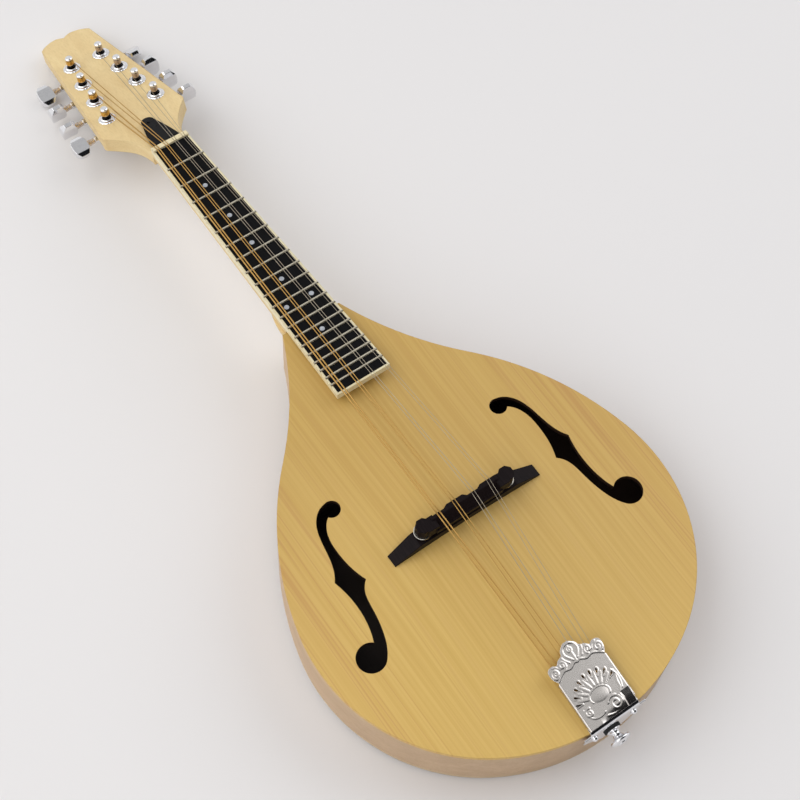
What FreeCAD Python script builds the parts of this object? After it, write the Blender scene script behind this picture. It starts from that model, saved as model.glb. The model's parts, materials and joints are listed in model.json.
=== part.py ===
import FreeCAD, Part
import math
import os
import Sketcher

# A-style mandolin: arched top with f-holes, flat back, tilted neck and headstock, adjustable bridge,
# stamped tailpiece and eight enclosed tuners.
#
# Four frames are used, all with +X to the treble side and +Y towards the headstock:
#   body   z = 0 on the rim plane of the top, y = 0 below the nut
#   neck   the fretboard plane, origin on the fretboard's surface at the nut
#   head   the face of the headstock, tilted back from the neck
#   cover  the tailpiece cover's plane, rising towards the bridge
# LIE puts the whole instrument on a table: tail edge of the back and the rear tuners touch z = 0.

V = FreeCAD.Vector
X_AXIS = V(1, 0, 0)
Y_AXIS = V(0, 1, 0)
Z_AXIS = V(0, 0, 1)
NO_TURN = FreeCAD.Rotation()

DIMENSIONS = {
    # neck and scale
    "scale_length": 352.0,
    "fret_count": 20,
    "neck_tilt": 5.8,
    "head_tilt": 12.3,
    "nut_drop": 12.6,
    "head_step": 4.0,
    "board_thick": 5.0,
    "board_end": 250.0,
    "nut_width": 30.0,
    "nut_rest": 1.15,
    "board_end_width": 42.7,
    "binding_width": 1.5,
    "shaft_depth": 13.0,
    "heel_depth": 16.0,
    "head_thick": 11.0,
    "rod_depth": 10.5,
    "rod_radius": 2.0,
    "rod_fit": 0.06,
    # body
    "rim_depth": 48.0,
    "top_thick": 4.0,
    "back_thick": 3.5,
    "rib_thick": 2.5,
    "lining_width": 5.0,
    "lining_depth": 9.0,
    "arch_rise": 7.6,
    "arch_centre": -385.0,
    "tail_end": -525.0,
    "tail_radius": 142.8,
    "bout_radius": 125.7,
    "shoulder_radius": 217.9,
    "waist_radius": 257.9,
    "tail_sweep": 31.6,
    "bout_sweep": 70.8,
    "shoulder_sweep": 31.5,
    "waist_sweep": 21.6,
    # bridge
    "bridge_place": -363.6,
    "bridge_shift": 1.2,
    "foot_half": 58.0,
    "foot_width": 8.8,
    "foot_flare": 10.8,
    "foot_top": 13.7,
    "foot_tip": 5.2,
    "stud_spread": 32.7,
    "stud_ahead": 2.4,
    "stud_radius": 1.6,
    "stud_fit": 0.08,
    "wheel_radius": 6.0,
    "wheel_thick": 2.0,
    "wheel_base": 15.0,
    "saddle_base": 17.4,
    "saddle_crest": 27.0,
    # tailpiece
    "plate_thick": 1.2,
    "cover_half": 18.9,
    "cover_thick": 1.0,
    "cover_tilt": 8.7,
    "cover_rise": 4.0,
    "hook_place": -497.0,
    "hook_height": 5.0,
    "hook_gap": 4.0,
    "hook_radius": 0.8,
    "flange_half": 24.0,
    "flange_depth": 29.0,
    "button_drop": 17.0,
    # tuners
    "post_radius": 2.98,
    "post_waist": 2.3,
    "post_fit": 0.07,
    "post_top": 10.5,
    "shaft_radius": 1.5,
    "shaft_fit": 0.06,
    "gear_radius": 3.0,
    "shaft_drop": 16.0,
    "housing_floor": 23.0,
    "knob_half": 8.5,
    "knob_thick": 6.6,
}

TUNER_PLACES = ((13.0, 141.5), (16.0, 115.7), (18.6, 90.4), (21.2, 64.8))
KNOB_TURNS = {"bass": (-29, 66, 64, -24), "treble": (-27, 94, 102, 109)}
STRING_GAP = 0.08
WINDING_BASE = 3.9
STRING_RADII = {"g": 0.50, "d": 0.33, "a": 0.20, "e": 0.16}
COURSES = (("g", -1, 0), ("d", -1, 1), ("a", 1, 1), ("e", 1, 0))

doc = FreeCAD.newDocument("Mandolin")
sheet = doc.addObject("Spreadsheet::Sheet", "Dimensions")
for row, (alias, value) in enumerate(DIMENSIONS.items(), start=1):
    sheet.set("A%d" % row, alias)
    sheet.set("B%d" % row, str(value))
    sheet.setAlias("B%d" % row, alias)
doc.recompute()


def dim(alias):
    return float(sheet.get(alias))


def named(alias):
    return "Dimensions." + alias


# ---------------------------------------------------------------- frames

def shift(x, y, z):
    return FreeCAD.Placement(V(x, y, z), NO_TURN)


def turned(axis, degrees, x=0, y=0, z=0):
    return FreeCAD.Placement(V(x, y, z), FreeCAD.Rotation(axis, degrees))


NECK = turned(X_AXIS, -dim("neck_tilt"), 0, 0, -dim("nut_drop"))
HEAD = NECK * turned(X_AXIS, -dim("head_tilt"), 0, 0, -dim("head_step"))
COVER = turned(X_AXIS, dim("cover_tilt"), 0, dim("tail_end") + 1.0, dim("cover_rise"))


def lying_on_table():
    """Pitch that brings the back's tail edge and the tuners nearest the tip to one level."""
    tail_edge = V(0, dim("tail_end"), -dim("rim_depth"))
    rounding = 1.6
    corner = V(0, TUNER_PLACES[0][1] + 8.0 - rounding, rounding - dim("housing_floor"))
    tuner_edge = HEAD.multVec(corner) - V(0, 0, rounding)
    pitch = math.degrees(math.atan2(tail_edge.z - tuner_edge.z, tuner_edge.y - tail_edge.y))
    return turned(X_AXIS, pitch)


LIE = lying_on_table()


# ---------------------------------------------------------------- modelling helpers

NODES = []


def node(obj, name, frame):
    obj.Label = name
    obj.Placement = frame
    NODES.append(obj)
    return obj


def new_body(name):
    return doc.addObject("PartDesign::Body", name)


def new_sketch(body, name, role="XY_Plane", height=0.0):
    sketch = body.newObject("Sketcher::SketchObject", name)
    plane = next(item for item in body.Origin.OriginFeatures if item.Role == role)
    sketch.AttachmentSupport = [(plane, "")]
    sketch.MapMode = "FlatFace"
    sketch.AttachmentOffset = shift(0, 0, height)
    return sketch


def line(a, b):
    return Part.LineSegment(V(a[0], a[1], 0), V(b[0], b[1], 0))


def arc(a, through, b):
    return Part.Arc(V(a[0], a[1], 0), V(through[0], through[1], 0), V(b[0], b[1], 0))


def spline(points):
    curve = Part.BSplineCurve()
    curve.interpolate([V(p[0], p[1], 0) for p in points])
    return curve


def circle(x, y, radius):
    return Part.Circle(V(x, y, 0), Z_AXIS, radius)


def polygon(points):
    return [line(a, b) for a, b in zip(points, points[1:] + points[:1])]


def mirrored(points):
    return [(-x, y) for x, y in reversed(points)]


def draw(sketch, curves):
    for curve in curves:
        sketch.addGeometry(curve, False)
    return sketch


def pad(body, sketch, length, down=False, both=False):
    feature = body.newObject("PartDesign::Pad", sketch.Name + "Pad")
    feature.Profile = sketch
    feature.Reversed = down
    if both:
        feature.SideType = "Symmetric"
    feature.setExpression("Length", length)
    return feature


def pocket_through(body, sketch):
    feature = body.newObject("PartDesign::Pocket", sketch.Name + "Pocket")
    feature.Profile = sketch
    feature.Type = "ThroughAll"
    feature.SideType = "Symmetric"
    return feature


def revolve(body, sketch, axis="V_Axis"):
    feature = body.newObject("PartDesign::Revolution", sketch.Name + "Turn")
    feature.Profile = sketch
    feature.ReferenceAxis = (sketch, [axis])
    feature.Angle = 360.0
    return feature


def loft(body, sections, cut=False, straight=False):
    kind = "PartDesign::SubtractiveLoft" if cut else "PartDesign::AdditiveLoft"
    feature = body.newObject(kind, sections[0].Name + "Loft")
    feature.Profile = sections[0]
    feature.Sections = sections[1:]
    feature.Ruled = straight
    return feature


def box(name, low, high):
    solid = doc.addObject("Part::Box", name)
    solid.Length = high[0] - low[0]
    solid.Width = high[1] - low[1]
    solid.Height = high[2] - low[2]
    solid.Placement = shift(*low)
    return solid


def rod(name, radius, length, place, axis=Z_AXIS):
    solid = doc.addObject("Part::Cylinder", name)
    if isinstance(radius, str):
        solid.setExpression("Radius", radius)
    else:
        solid.Radius = radius
    if isinstance(length, str):
        solid.setExpression("Height", length)
    else:
        solid.Height = length
    solid.Placement = FreeCAD.Placement(V(*place), FreeCAD.Rotation(Z_AXIS, axis))
    return solid


def cut(name, base, tool):
    result = doc.addObject("Part::Cut", name)
    result.Base = base
    result.Tool = tool
    return result


def common(name, base, tool):
    result = doc.addObject("Part::Common", name)
    result.Base = base
    result.Tool = tool
    return result


def fuse(name, shapes):
    result = doc.addObject("Part::MultiFuse", name)
    result.Shapes = shapes
    result.Refine = True
    return result


def group(name, solids):
    result = doc.addObject("Part::Compound", name)
    result.Links = solids
    return result


def formula_solid(name, shape):
    result = doc.addObject("Part::Feature", name)
    result.Shape = shape
    return result


# ---------------------------------------------------------------- body outline

def outline_side(inset=0.0, scale=1.0):
    """Arcs of the treble half, from the tail to the neck, each as (start, middle, end)."""
    sweeps = [dim(part + "_sweep") for part in ("tail", "bout", "shoulder", "waist")]
    radii = [dim(part + "_radius") for part in ("tail", "bout", "shoulder", "waist")]
    radii[3] = -radii[3]
    centre_y = dim("arch_centre")
    arcs = []
    edge = V(0, dim("tail_end"), 0)
    heading = 0.0
    for radius, sweep in zip(radii, sweeps):
        centre = edge + V(-math.sin(heading), math.cos(heading), 0) * radius
        turn = math.copysign(math.radians(sweep), radius)
        points = []
        for part in (0.0, 0.5, 1.0):
            angle = heading + turn * part
            out = V(math.sin(angle), -math.cos(angle), 0)
            p = centre + out * (radius - inset)
            points.append((p.x * scale, centre_y + (p.y - centre_y) * scale))
        arcs.append(points)
        edge = centre + V(math.sin(heading + turn), -math.cos(heading + turn), 0) * radius
        heading += turn
    return arcs


def outline(inset=0.0, scale=1.0):
    side = outline_side(inset, scale)
    curves = [arc(*points) for points in side]
    curves.append(line(side[-1][2], (-side[-1][2][0], side[-1][2][1])))
    curves += [arc(*mirrored(points)) for points in reversed(side)]
    return curves


def rib_band(side, outer, inner):
    """Closed band between two insets on one half, meeting the other half at the tail."""
    outside = [[(side * x, y) for x, y in points] for points in outline_side(outer)]
    inside = [[(side * x, y) for x, y in points] for points in outline_side(inner)]
    curves = [arc(*points) for points in outside]
    curves.append(line(outside[-1][2], inside[-1][2]))
    curves += [arc(*reversed(points)) for points in reversed(inside)]
    curves.append(line(inside[0][0], outside[0][0]))
    return curves


def arch_height(scale):
    return dim("arch_rise") * (1 + math.cos(math.pi * scale)) / 2


def arch_sections(body, name, scales, drop):
    sections = []
    for index, scale in enumerate(scales):
        height = -drop if index == 0 else arch_height(scale) - drop
        sketch = new_sketch(body, "%s%d" % (name, index), height=height)
        sections.append(draw(sketch, outline(scale=scale)))
    return sections


ARCH_SCALES = (1.0, 0.85, 0.7, 0.55, 0.4, 0.25, 0.1)
GLUE_RIM = 0.93


def arch_solid(name, base_drop):
    """Everything under the arched outer surface, down to base_drop below the rim plane."""
    body = new_body(name)
    rim = draw(new_sketch(body, name + "Rim"), outline())
    pad(body, rim, base_drop, down=True)
    loft(body, arch_sections(body, name + "Arch", ARCH_SCALES, 0.0))
    return body


def f_hole(side):
    eye = (67.5, -310.8)
    lobe = (102.8, -408.3)
    eye_in = (72.5, -314.3)
    eye_out = (69.5, -305.1)
    lobe_in = (96.0, -401.0)
    lobe_out = (96.3, -415.9)
    nick_out = (94.2, -354.3)
    nick_in = (76.5, -363.6)
    curves = [
        (arc, (eye_in, (eye[0] - 4.8, eye[1] - 3.6), eye_out)),
        (spline, ([eye_out, (75.5, -307.3), (81.8, -314.4), (85.4, -325.4), (89.2, -344.5), nick_out],)),
        (spline, ([nick_out, (91.7, -367.8), (91.5, -381.1), (93.4, -393.2), lobe_in],)),
        (arc, (lobe_in, (lobe[0] + 8.7, lobe[1] + 5.0), lobe_out)),
        (spline, ([lobe_out, (91.1, -408.7), (87.2, -398.5), (84.2, -382.5), (81.8, -370.5), nick_in],)),
        (spline, ([nick_in, (79.6, -353.2), (81.1, -338.2), (80.1, -326.5), (76.6, -318.4), eye_in],)),
    ]
    made = []
    for kind, data in curves:
        if kind is arc:
            made.append(arc(*[(side * x, y) for x, y in data]))
        else:
            made.append(spline([(side * x, y) for x, y in data[0]]))
    return made


def top_plate():
    body = arch_solid("TopPlate", named("top_thick"))
    hollow = (GLUE_RIM,) + ARCH_SCALES[1:]
    loft(body, arch_sections(body, "TopHollow", hollow, dim("top_thick")), cut=True)
    for name, side in (("Bass", -1), ("Treble", 1)):
        pocket_through(body, draw(new_sketch(body, "FHole" + name), f_hole(side)))
    return body


def plate_pad(name, curves, height, length, down=False):
    body = new_body(name)
    pad(body, draw(new_sketch(body, name + "Plan", height=height), curves), length, down)
    return body


def back_plate():
    body = plate_pad("BackPlate", outline(), -dim("rim_depth"), named("back_thick"))
    return body


def make_body():
    under_top = -dim("top_thick")
    over_back = dim("back_thick") - dim("rim_depth")
    wall = "Dimensions.rim_depth - Dimensions.top_thick - Dimensions.back_thick"
    inner = dim("rib_thick")
    lining_in = inner + dim("lining_width")
    neck_end = outline_side(inner)[-1][2][1]
    tail_in = dim("tail_end") + inner

    node(top_plate(), "top_plate", LIE)
    node(back_plate(), "back_plate", LIE)
    node(plate_pad("SideBass", rib_band(-1, 0, inner), over_back, wall), "side_bass", LIE)
    node(plate_pad("SideTreble", rib_band(1, 0, inner), over_back, wall), "side_treble", LIE)

    room = plate_pad("NeckBlockRoom", outline(inner), over_back, wall)
    front = box("NeckBlockBox", (-34, neck_end - 38, over_back), (34, neck_end, under_top))
    mortise = box("Mortise", (-10.1, neck_end - 20.1, -40.1), (10.1, neck_end + 1, under_top))
    node(cut("NeckBlock", common("NeckBlockBlank", room, front), mortise), "neck_block", LIE)

    room = plate_pad("TailBlockRoom", outline(inner), over_back, wall)
    rear = box("TailBlockBox", (-36, tail_in - 1, over_back), (36, tail_in + 19, under_top))
    node(common("TailBlock", room, rear), "tail_block", LIE)

    for name, level, down in (("top", under_top, True), ("back", over_back, False)):
        strips = []
        for word, side in (("Bass", -1), ("Treble", 1)):
            label = name.title() + "Lining" + word
            band = plate_pad(label + "Band", rib_band(side, inner, lining_in), level,
                             named("lining_depth"), down)
            blocks = group(label + "Blocks", [
                box(label + "Front", (-34, neck_end - 38, -60), (34, neck_end + 10, 10)),
                box(label + "Rear", (-36, tail_in - 10, -60), (36, tail_in + 19, 10)),
            ])
            strips.append(cut(label, band, blocks))
        node(group(name.title() + "Linings", strips), name + "_linings", LIE)

    bars = []
    for word, side, lean in (("Bass", -1, 7.0), ("Treble", 1, -7.0)):
        blank = box("BarBlank" + word, (-3, -115, -9), (3, 95, 8))
        blank.Placement = turned(Z_AXIS, lean, side * 34, -372, -9)
        blank.Placement = blank.Placement * shift(-3, -115, 0)
        core = new_body("UnderTop" + word)
        base = draw(new_sketch(core, "UnderTopRim" + word, height=-dim("top_thick")),
                    outline(scale=GLUE_RIM))
        pad(core, base, "20", down=True)
        loft(core, arch_sections(core, "UnderTop" + word + "Arch", (GLUE_RIM,) + ARCH_SCALES[1:],
                                 dim("top_thick")))
        bars.append(common("ToneBar" + word, blank, core))
    node(group("ToneBars", bars), "tone_bars", LIE)

    braces = []
    for word, place, half in (("Upper", -292.0, 84.0), ("Lower", -420.0, 114.0)):
        body = new_body("Brace" + word)
        profile = [(-half, 0), (half, 0), (half, 3), (half - 24, 11), (24 - half, 11), (-half, 3)]
        sketch = draw(new_sketch(body, "Brace" + word + "Side", "XZ_Plane"), polygon(profile))
        pad(body, sketch, "8", both=True)
        body.Placement = shift(0, place, over_back)
        braces.append(body)
    node(group("BackBraces", braces), "back_braces", LIE)


# ---------------------------------------------------------------- neck

def board_half(y, inset=0.0):
    """Half width of the fretboard at y (negative towards the body)."""
    grow = (dim("board_end_width") - dim("nut_width")) / dim("board_end")
    return (dim("nut_width") - grow * y) / 2 - inset


def fret_place(number):
    return -dim("scale_length") * (1 - 2 ** (-number / 12.0))


def board_plan(inset, head_end, body_end):
    return [(board_half(head_end, inset), head_end), (board_half(body_end, inset), body_end),
            (-board_half(body_end, inset), body_end), (-board_half(head_end, inset), head_end)]


def neck_section(body, name, y, top, depth, half):
    """Closed C-shaped section of the neck shaft, flat on top, at one y."""
    sketch = new_sketch(body, name, "XZ_Plane", -y)
    low = top - depth
    curve = spline([(half, top), (half * 0.93, top - depth * 0.45), (half * 0.62, top - depth * 0.85),
                    (0, low), (-half * 0.62, top - depth * 0.85), (-half * 0.93, top - depth * 0.45),
                    (-half, top)])
    return draw(sketch, [curve, line((-half, top), (half, top))])


def neck_shaft():
    body = new_body("NeckShaft")
    top = -dim("board_thick")
    slim = dim("shaft_depth")
    deep = dim("heel_depth")
    sections = [
        neck_section(body, "ShaftHead", 32, top - 8.2, slim - 4.5, 11.5),
        neck_section(body, "ShaftNut", 4.6, top, slim, board_half(4.6)),
        neck_section(body, "ShaftMiddle", -90, top, (slim + deep) / 2, board_half(-90)),
        neck_section(body, "ShaftHeel", -184, top, deep, board_half(-184)),
    ]
    loft(body, sections, straight=True)
    body.Placement = NECK
    return body


HEAD_SIDE = [(14.75, 4.7), (15.6, 14.0), (18.6, 24.0), (24.6, 33.4), (33.0, 43.0)]


def headstock():
    body = new_body("Headstock")
    tip = [(21.6, 179.0), (13.0, 184.2), (6.2, 185.3)]
    dip = (0, 182.4)
    corner = [(33.0, 43.0), (35.3, 46.4), (34.8, 50.0)]
    sketch = new_sketch(body, "HeadPlan")
    curves = []
    for side in (1, -1):
        def flip(points):
            return [(side * x, y) for x, y in points]
        curves.append(spline(flip(HEAD_SIDE)))
        curves.append(arc(*flip(corner)))
        curves.append(line(*flip([corner[2], tip[0]])))
        curves.append(arc(*flip(tip)))
        curves.append(arc(*flip([tip[2], (3.0, 184.2), dip])))
    curves.append(line(HEAD_SIDE[0], (-HEAD_SIDE[0][0], HEAD_SIDE[0][1])))
    draw(sketch, curves)
    pad(body, sketch, named("head_thick"), down=True)
    body.Placement = HEAD
    return body


def heel_plan(half, reach):
    start = -184.3
    return [arc((half, start), (half * 0.72, start + reach * 0.72), (0, start + reach)),
            arc((0, start + reach), (-half * 0.72, start + reach * 0.72), (-half, start)),
            line((-half, start), (half, start))]


def heel():
    body = new_body("Heel")
    levels = ((-46.0, 12.0, 16.0), (-36.0, 13.0, 19.0), (-26.0, 15.0, 24.0), (-16.0, 18.0, 33.0),
              (-8.0, 19.0, 42.0))
    sections = []
    for index, (height, half, reach) in enumerate(levels):
        sketch = new_sketch(body, "HeelLevel%d" % index, height=height)
        sections.append(draw(sketch, heel_plan(half, reach)))
    loft(body, sections)
    return body


def tuner_holes():
    holes = []
    for side in (-1, 1):
        for x, y in TUNER_PLACES:
            hole = rod("TunerHole", 4.0, 20.0, (side * x, y, -15))
            hole.Placement = HEAD * hole.Placement
            holes.append(hole)
    return holes


def make_neck():
    tongue = new_body("Tongue")
    plan = board_plan(3.0, -184.0, 4.0 - dim("board_end"))
    pad(tongue, draw(new_sketch(tongue, "TonguePlan", height=-dim("board_thick")), polygon(plan)),
        "14", down=True)
    tongue.Placement = NECK
    tenon = box("Tenon", (-10, -205.0, -40), (10, -184.3, -dim("top_thick") - 0.2))
    blank = fuse("NeckBlank", [neck_shaft(), headstock(), heel(), tongue, tenon])
    channel = box("RodChannel", (-3, -176, -dim("rod_depth") - 3), (3, 20, -dim("board_thick") + 1))
    channel.Placement = NECK * channel.Placement
    pocket = box("RodPocket", (-4.5, 4.7, -9.3), (4.5, 26, 2))
    pocket.Placement = HEAD * pocket.Placement
    behind = box("BodyRoom", (-60, -260, -60), (60, -184.3, -dim("top_thick")))
    body_room = cut("BodyRoomCut", behind, box("TenonRoom", (-10, -205, -40), (10, -184, 0)))
    arch = arch_solid("ArchUnderNeck", named("top_thick"))
    neck = cut("Neck", blank, group("NeckCuts", [channel, pocket, arch, body_room] + tuner_holes()))
    node(neck, "neck", LIE)

    cap = new_body("HeelCap")
    pad(cap, draw(new_sketch(cap, "HeelCapPlan", height=-dim("rim_depth")), heel_plan(12.0, 16.0)), "2")
    node(cap, "heel_cap", LIE)

    bar = rod("TrussRod", named("rod_radius"), 182.0, (0, -172, -dim("rod_depth")), Y_AXIS)
    node(bar, "truss_rod", LIE * NECK * bar.Placement)
    hexagon = [(3.2 * math.cos(math.radians(a)), 3.2 * math.sin(math.radians(a))) for a in range(0, 360, 60)]
    brass = new_body("TrussRodNut")
    sketch = draw(new_sketch(brass, "NutHexagon", "XZ_Plane"), polygon(hexagon))
    draw(sketch, [circle(0, 0, dim("rod_radius") + dim("rod_fit"))])
    pad(brass, sketch, "7.5", down=True)
    node(brass, "truss_rod_nut", LIE * NECK * shift(0, 5.0, -dim("rod_depth")))

    cover = new_body("TrussRodCover")
    edge = [(11.8, 5.4), (10.2, 16.0), (7.6, 28.0), (5.2, 37.0)]
    plan = [spline(edge), arc(edge[-1], (0, 42.6), (-edge[-1][0], edge[-1][1])), spline(mirrored(edge)),
            line((-11.8, 5.4), (11.8, 5.4))]
    pad(cover, draw(new_sketch(cover, "CoverPlan"), plan), "1.8")
    node(cover, "truss_rod_cover", LIE * HEAD)
    screws = []
    for x, y in ((0, 37.0), (-8.0, 10.0), (8.0, 10.0)):
        screws.append(fuse("CoverScrew", [rod("CoverScrewHead", 1.3, 0.7, (x, y, 1.8)),
                                          rod("CoverScrewShank", 0.7, 7.0, (x, y, -5.2))]))
    node(group("CoverScrews", screws), "cover_screws", LIE * HEAD)


def make_fretboard():
    thick = dim("board_thick")
    edge = dim("binding_width")
    wood_end = edge - dim("board_end")
    wood = new_body("FretboardBlank")
    plan = draw(new_sketch(wood, "BoardPlan", height=-thick), polygon(board_plan(edge, 0, wood_end)))
    pad(wood, plan, named("board_thick"))
    cuts = []
    frets = []
    for number in range(1, int(dim("fret_count")) + 1):
        y = fret_place(number)
        cuts.append(box("Slot", (-30, y - 0.26, -2.2), (30, y + 0.26, 1)))
        crown = Part.Arc(V(0, y - 1.05, 0), V(0, y, 0.95), V(0, y + 1.05, 0)).toShape()
        floor = Part.LineSegment(V(0, y + 1.05, 0), V(0, y - 1.05, 0)).toShape()
        half = board_half(y, 0.15)
        bead = Part.Face(Part.Wire([crown, floor])).extrude(V(2 * half, 0, 0))
        bead.translate(V(-half, 0, 0))
        inside = board_half(y, edge + 0.2)
        tang = Part.makeBox(2 * inside, 0.5, 2.2, V(-inside, y - 0.25, -2.1))
        frets.append(bead.fuse(tang).removeSplitter())
    dots = []
    for number in (3, 5, 7, 10, 12, 15):
        middle = (fret_place(number) + fret_place(number - 1)) / 2
        for x in ((-10.2, 10.2) if number == 12 else (0,)):
            dots.append(rod("Dot", 1.85, 1.5, (x, middle, -1.5)))
            cuts.append(rod("DotRoom", 1.85, 2.5, (x, middle, -1.5)))
    node(cut("Fretboard", wood, group("BoardCuts", cuts)), "fretboard", LIE * NECK)
    strip = new_body("Binding")
    outer = board_plan(0, 0, -dim("board_end"))
    inner = board_plan(edge, 0, wood_end)
    ring = [outer[0], outer[1], outer[2], outer[3], inner[3], inner[2], inner[1], inner[0]]
    pad(strip, draw(new_sketch(strip, "BindingPlan", height=-thick), polygon(ring)), named("board_thick"))
    node(strip, "fretboard_binding", LIE * NECK)
    node(formula_solid("Frets", Part.makeCompound(frets)), "frets", LIE * NECK)
    node(group("Dots", dots), "position_dots", LIE * NECK)


# ---------------------------------------------------------------- strings

def string_xs(side, inner):
    """Signed x of both strings of a course at the nut, the saddle and the tailpiece hooks."""
    spots = []
    gap = dim("hook_gap")
    for member in (0, 1):
        nut = (3.6 if inner else 10.9) + (0.9 if member else -0.9)
        saddle = (7.0 if inner else 20.0) + (1.1 if member else -1.1)
        hook = gap * ((0.5 if inner else 2.5) + member)
        spots.append((side * nut, side * saddle + dim("bridge_shift"), side * hook))
    return spots


def string_post(side, inner, member):
    """Tuner that holds this string: outer strings go to the posts nearest the nut."""
    index = (0 if inner else 2) + member
    x, y = TUNER_PLACES[index]
    return side * x, y


def winding(radius):
    """Sleeve of close turns round the post's waist, standing on z = 0, and its mean radius."""
    inner = dim("post_waist") + STRING_GAP
    height = 2.2
    sleeve = Part.makeCylinder(inner + 2 * radius, height).cut(Part.makeCylinder(inner, height))
    return sleeve, inner + radius


def loop_size(radius):
    """Mean radius of the end loop round its hook."""
    return dim("hook_radius") + STRING_GAP + radius


def string_route(course, side, inner, member):
    """Where the string leaves its post, and the points where it bends: nut, saddle and loop."""
    radius = STRING_RADII[course]
    nut_x, saddle_x, hook_x = string_xs(side, inner)[member]
    post_x, post_y = string_post(side, inner, member)
    nut = NECK.multVec(V(nut_x, 0, dim("nut_rest") + radius))
    nut_in_head = HEAD.inverse().multVec(nut)
    # the string leaves the turns on the side that faces the centre line
    to_nut = V(nut_in_head.x - post_x, nut_in_head.y - post_y, 0)
    clear = winding(radius)[1] + 2 * radius + 0.02
    leave = math.atan2(to_nut.y, to_nut.x) - side * math.acos(clear / to_nut.Length)
    start = V(post_x + clear * math.cos(leave), post_y + clear * math.sin(leave), WINDING_BASE + 1.0)
    crest = V(saddle_x, crest_place(course), dim("saddle_crest") + radius + STRING_GAP)
    end = V(hook_x, dim("hook_place") + loop_size(radius) + radius + 0.02, dim("hook_height"))
    return [HEAD.multVec(start), nut, crest, end]


def string_shape(course, side, inner, member):
    """The string from its post over nut and saddle to its hook, with its turns and its end loop."""
    radius = STRING_RADII[course]
    points = string_route(course, side, inner, member)
    section = Part.Wire(Part.Circle(points[0], points[1] - points[0], radius).toShape())
    wire = Part.makePolygon(points).makePipeShell([section], True, False, 1)
    hook = V(points[-1].x, dim("hook_place"), dim("hook_height"))
    loop = Part.makeTorus(loop_size(radius), radius, hook)
    turns = winding(radius)[0]
    turns.Placement = HEAD * shift(*string_post(side, inner, member), WINDING_BASE)
    return [wire, loop, turns]


def crest_place(course):
    """y of the saddle's crest under a course; wound G and plain A sit further back."""
    return {"g": -359.6, "d": -358.0, "a": -360.2, "e": -358.6}[course]


def make_strings():
    for course, side, inner in COURSES:
        solids = []
        for member in (0, 1):
            solids += string_shape(course, side, inner, member)
        strings = formula_solid("Strings" + course.upper(), Part.makeCompound(solids))
        node(strings, "strings_" + course, LIE)


def make_nut():
    body = new_body("NutBlank")
    low = -dim("board_thick")
    profile = [(0.02, low), (4.6, low), (4.6, 0.8), (3.4, 1.5), (0.6, 1.9), (0.02, 1.6)]
    sketch = draw(new_sketch(body, "NutSide", "YZ_Plane"), polygon(profile))
    pad(body, sketch, "Dimensions.nut_width - 0.4", both=True)
    slots = []
    for course, side, inner in COURSES:
        room = STRING_RADII[course] + STRING_GAP
        for member in (0, 1):
            start, bend = [NECK.inverse().multVec(p) for p in string_route(course, side, inner, member)[:2]]
            slot = box("NutSlot", (-room, -1, -room), (room, 9, 4))
            along = FreeCAD.Placement(bend, FreeCAD.Rotation(Y_AXIS, start - bend))
            slot.Placement = along * shift(-room, -1, -room)
            slots.append(slot)
    node(cut("Nut", body, group("NutSlots", slots)), "nut", LIE * NECK)


# ---------------------------------------------------------------- bridge

def stud_axis(side):
    """Place of a stud's axis, on the top's rim plane."""
    x = dim("bridge_shift") + side * dim("stud_spread")
    return shift(x, dim("bridge_place") + dim("stud_ahead"), 0)


def bridge_foot():
    """Low foot with its underside cut to the arch, thin tips and flat pads under the wheels."""
    half = dim("foot_half")
    pad_end = dim("stud_spread") + 6.0
    tip = dim("foot_tip")
    top = dim("foot_top")
    side_view = new_body("FootSide")
    profile = [(-half, 1.0), (half, 1.0), (half, tip), (pad_end, top), (-pad_end, top), (-half, tip)]
    pad(side_view, draw(new_sketch(side_view, "FootProfile", "XZ_Plane"), polygon(profile)), "40", both=True)
    plan_view = new_body("FootPlan")
    front = -dim("foot_width") / 2
    flare = front + dim("foot_flare")
    plan = [(-half, front), (half, front), (half, -front), (pad_end + 2, flare), (pad_end - 12, flare),
            (12 - pad_end, flare), (-pad_end - 2, flare), (-half, -front)]
    pad(plan_view, draw(new_sketch(plan_view, "FootOutline"), polygon(plan)), "30")
    blank = common("FootBlank", side_view, plan_view)
    blank.Placement = shift(dim("bridge_shift"), dim("bridge_place"), 0)
    return blank


def saddle_notches():
    """Room for each string where it runs down behind the saddle's crest."""
    notches = []
    for course, side, inner in COURSES:
        room = STRING_RADII[course] + STRING_GAP
        for member in (0, 1):
            crest, end = string_route(course, side, inner, member)[2:]
            floor = V(crest.x, crest.y, dim("saddle_crest"))
            notch = box("SaddleNotch", (-room, -14, 0), (room, 0, 3))
            along = FreeCAD.Placement(floor, FreeCAD.Rotation(-Y_AXIS, end - crest))
            notch.Placement = along * shift(-room, -14, 0)
            notches.append(notch)
    return notches


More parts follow.
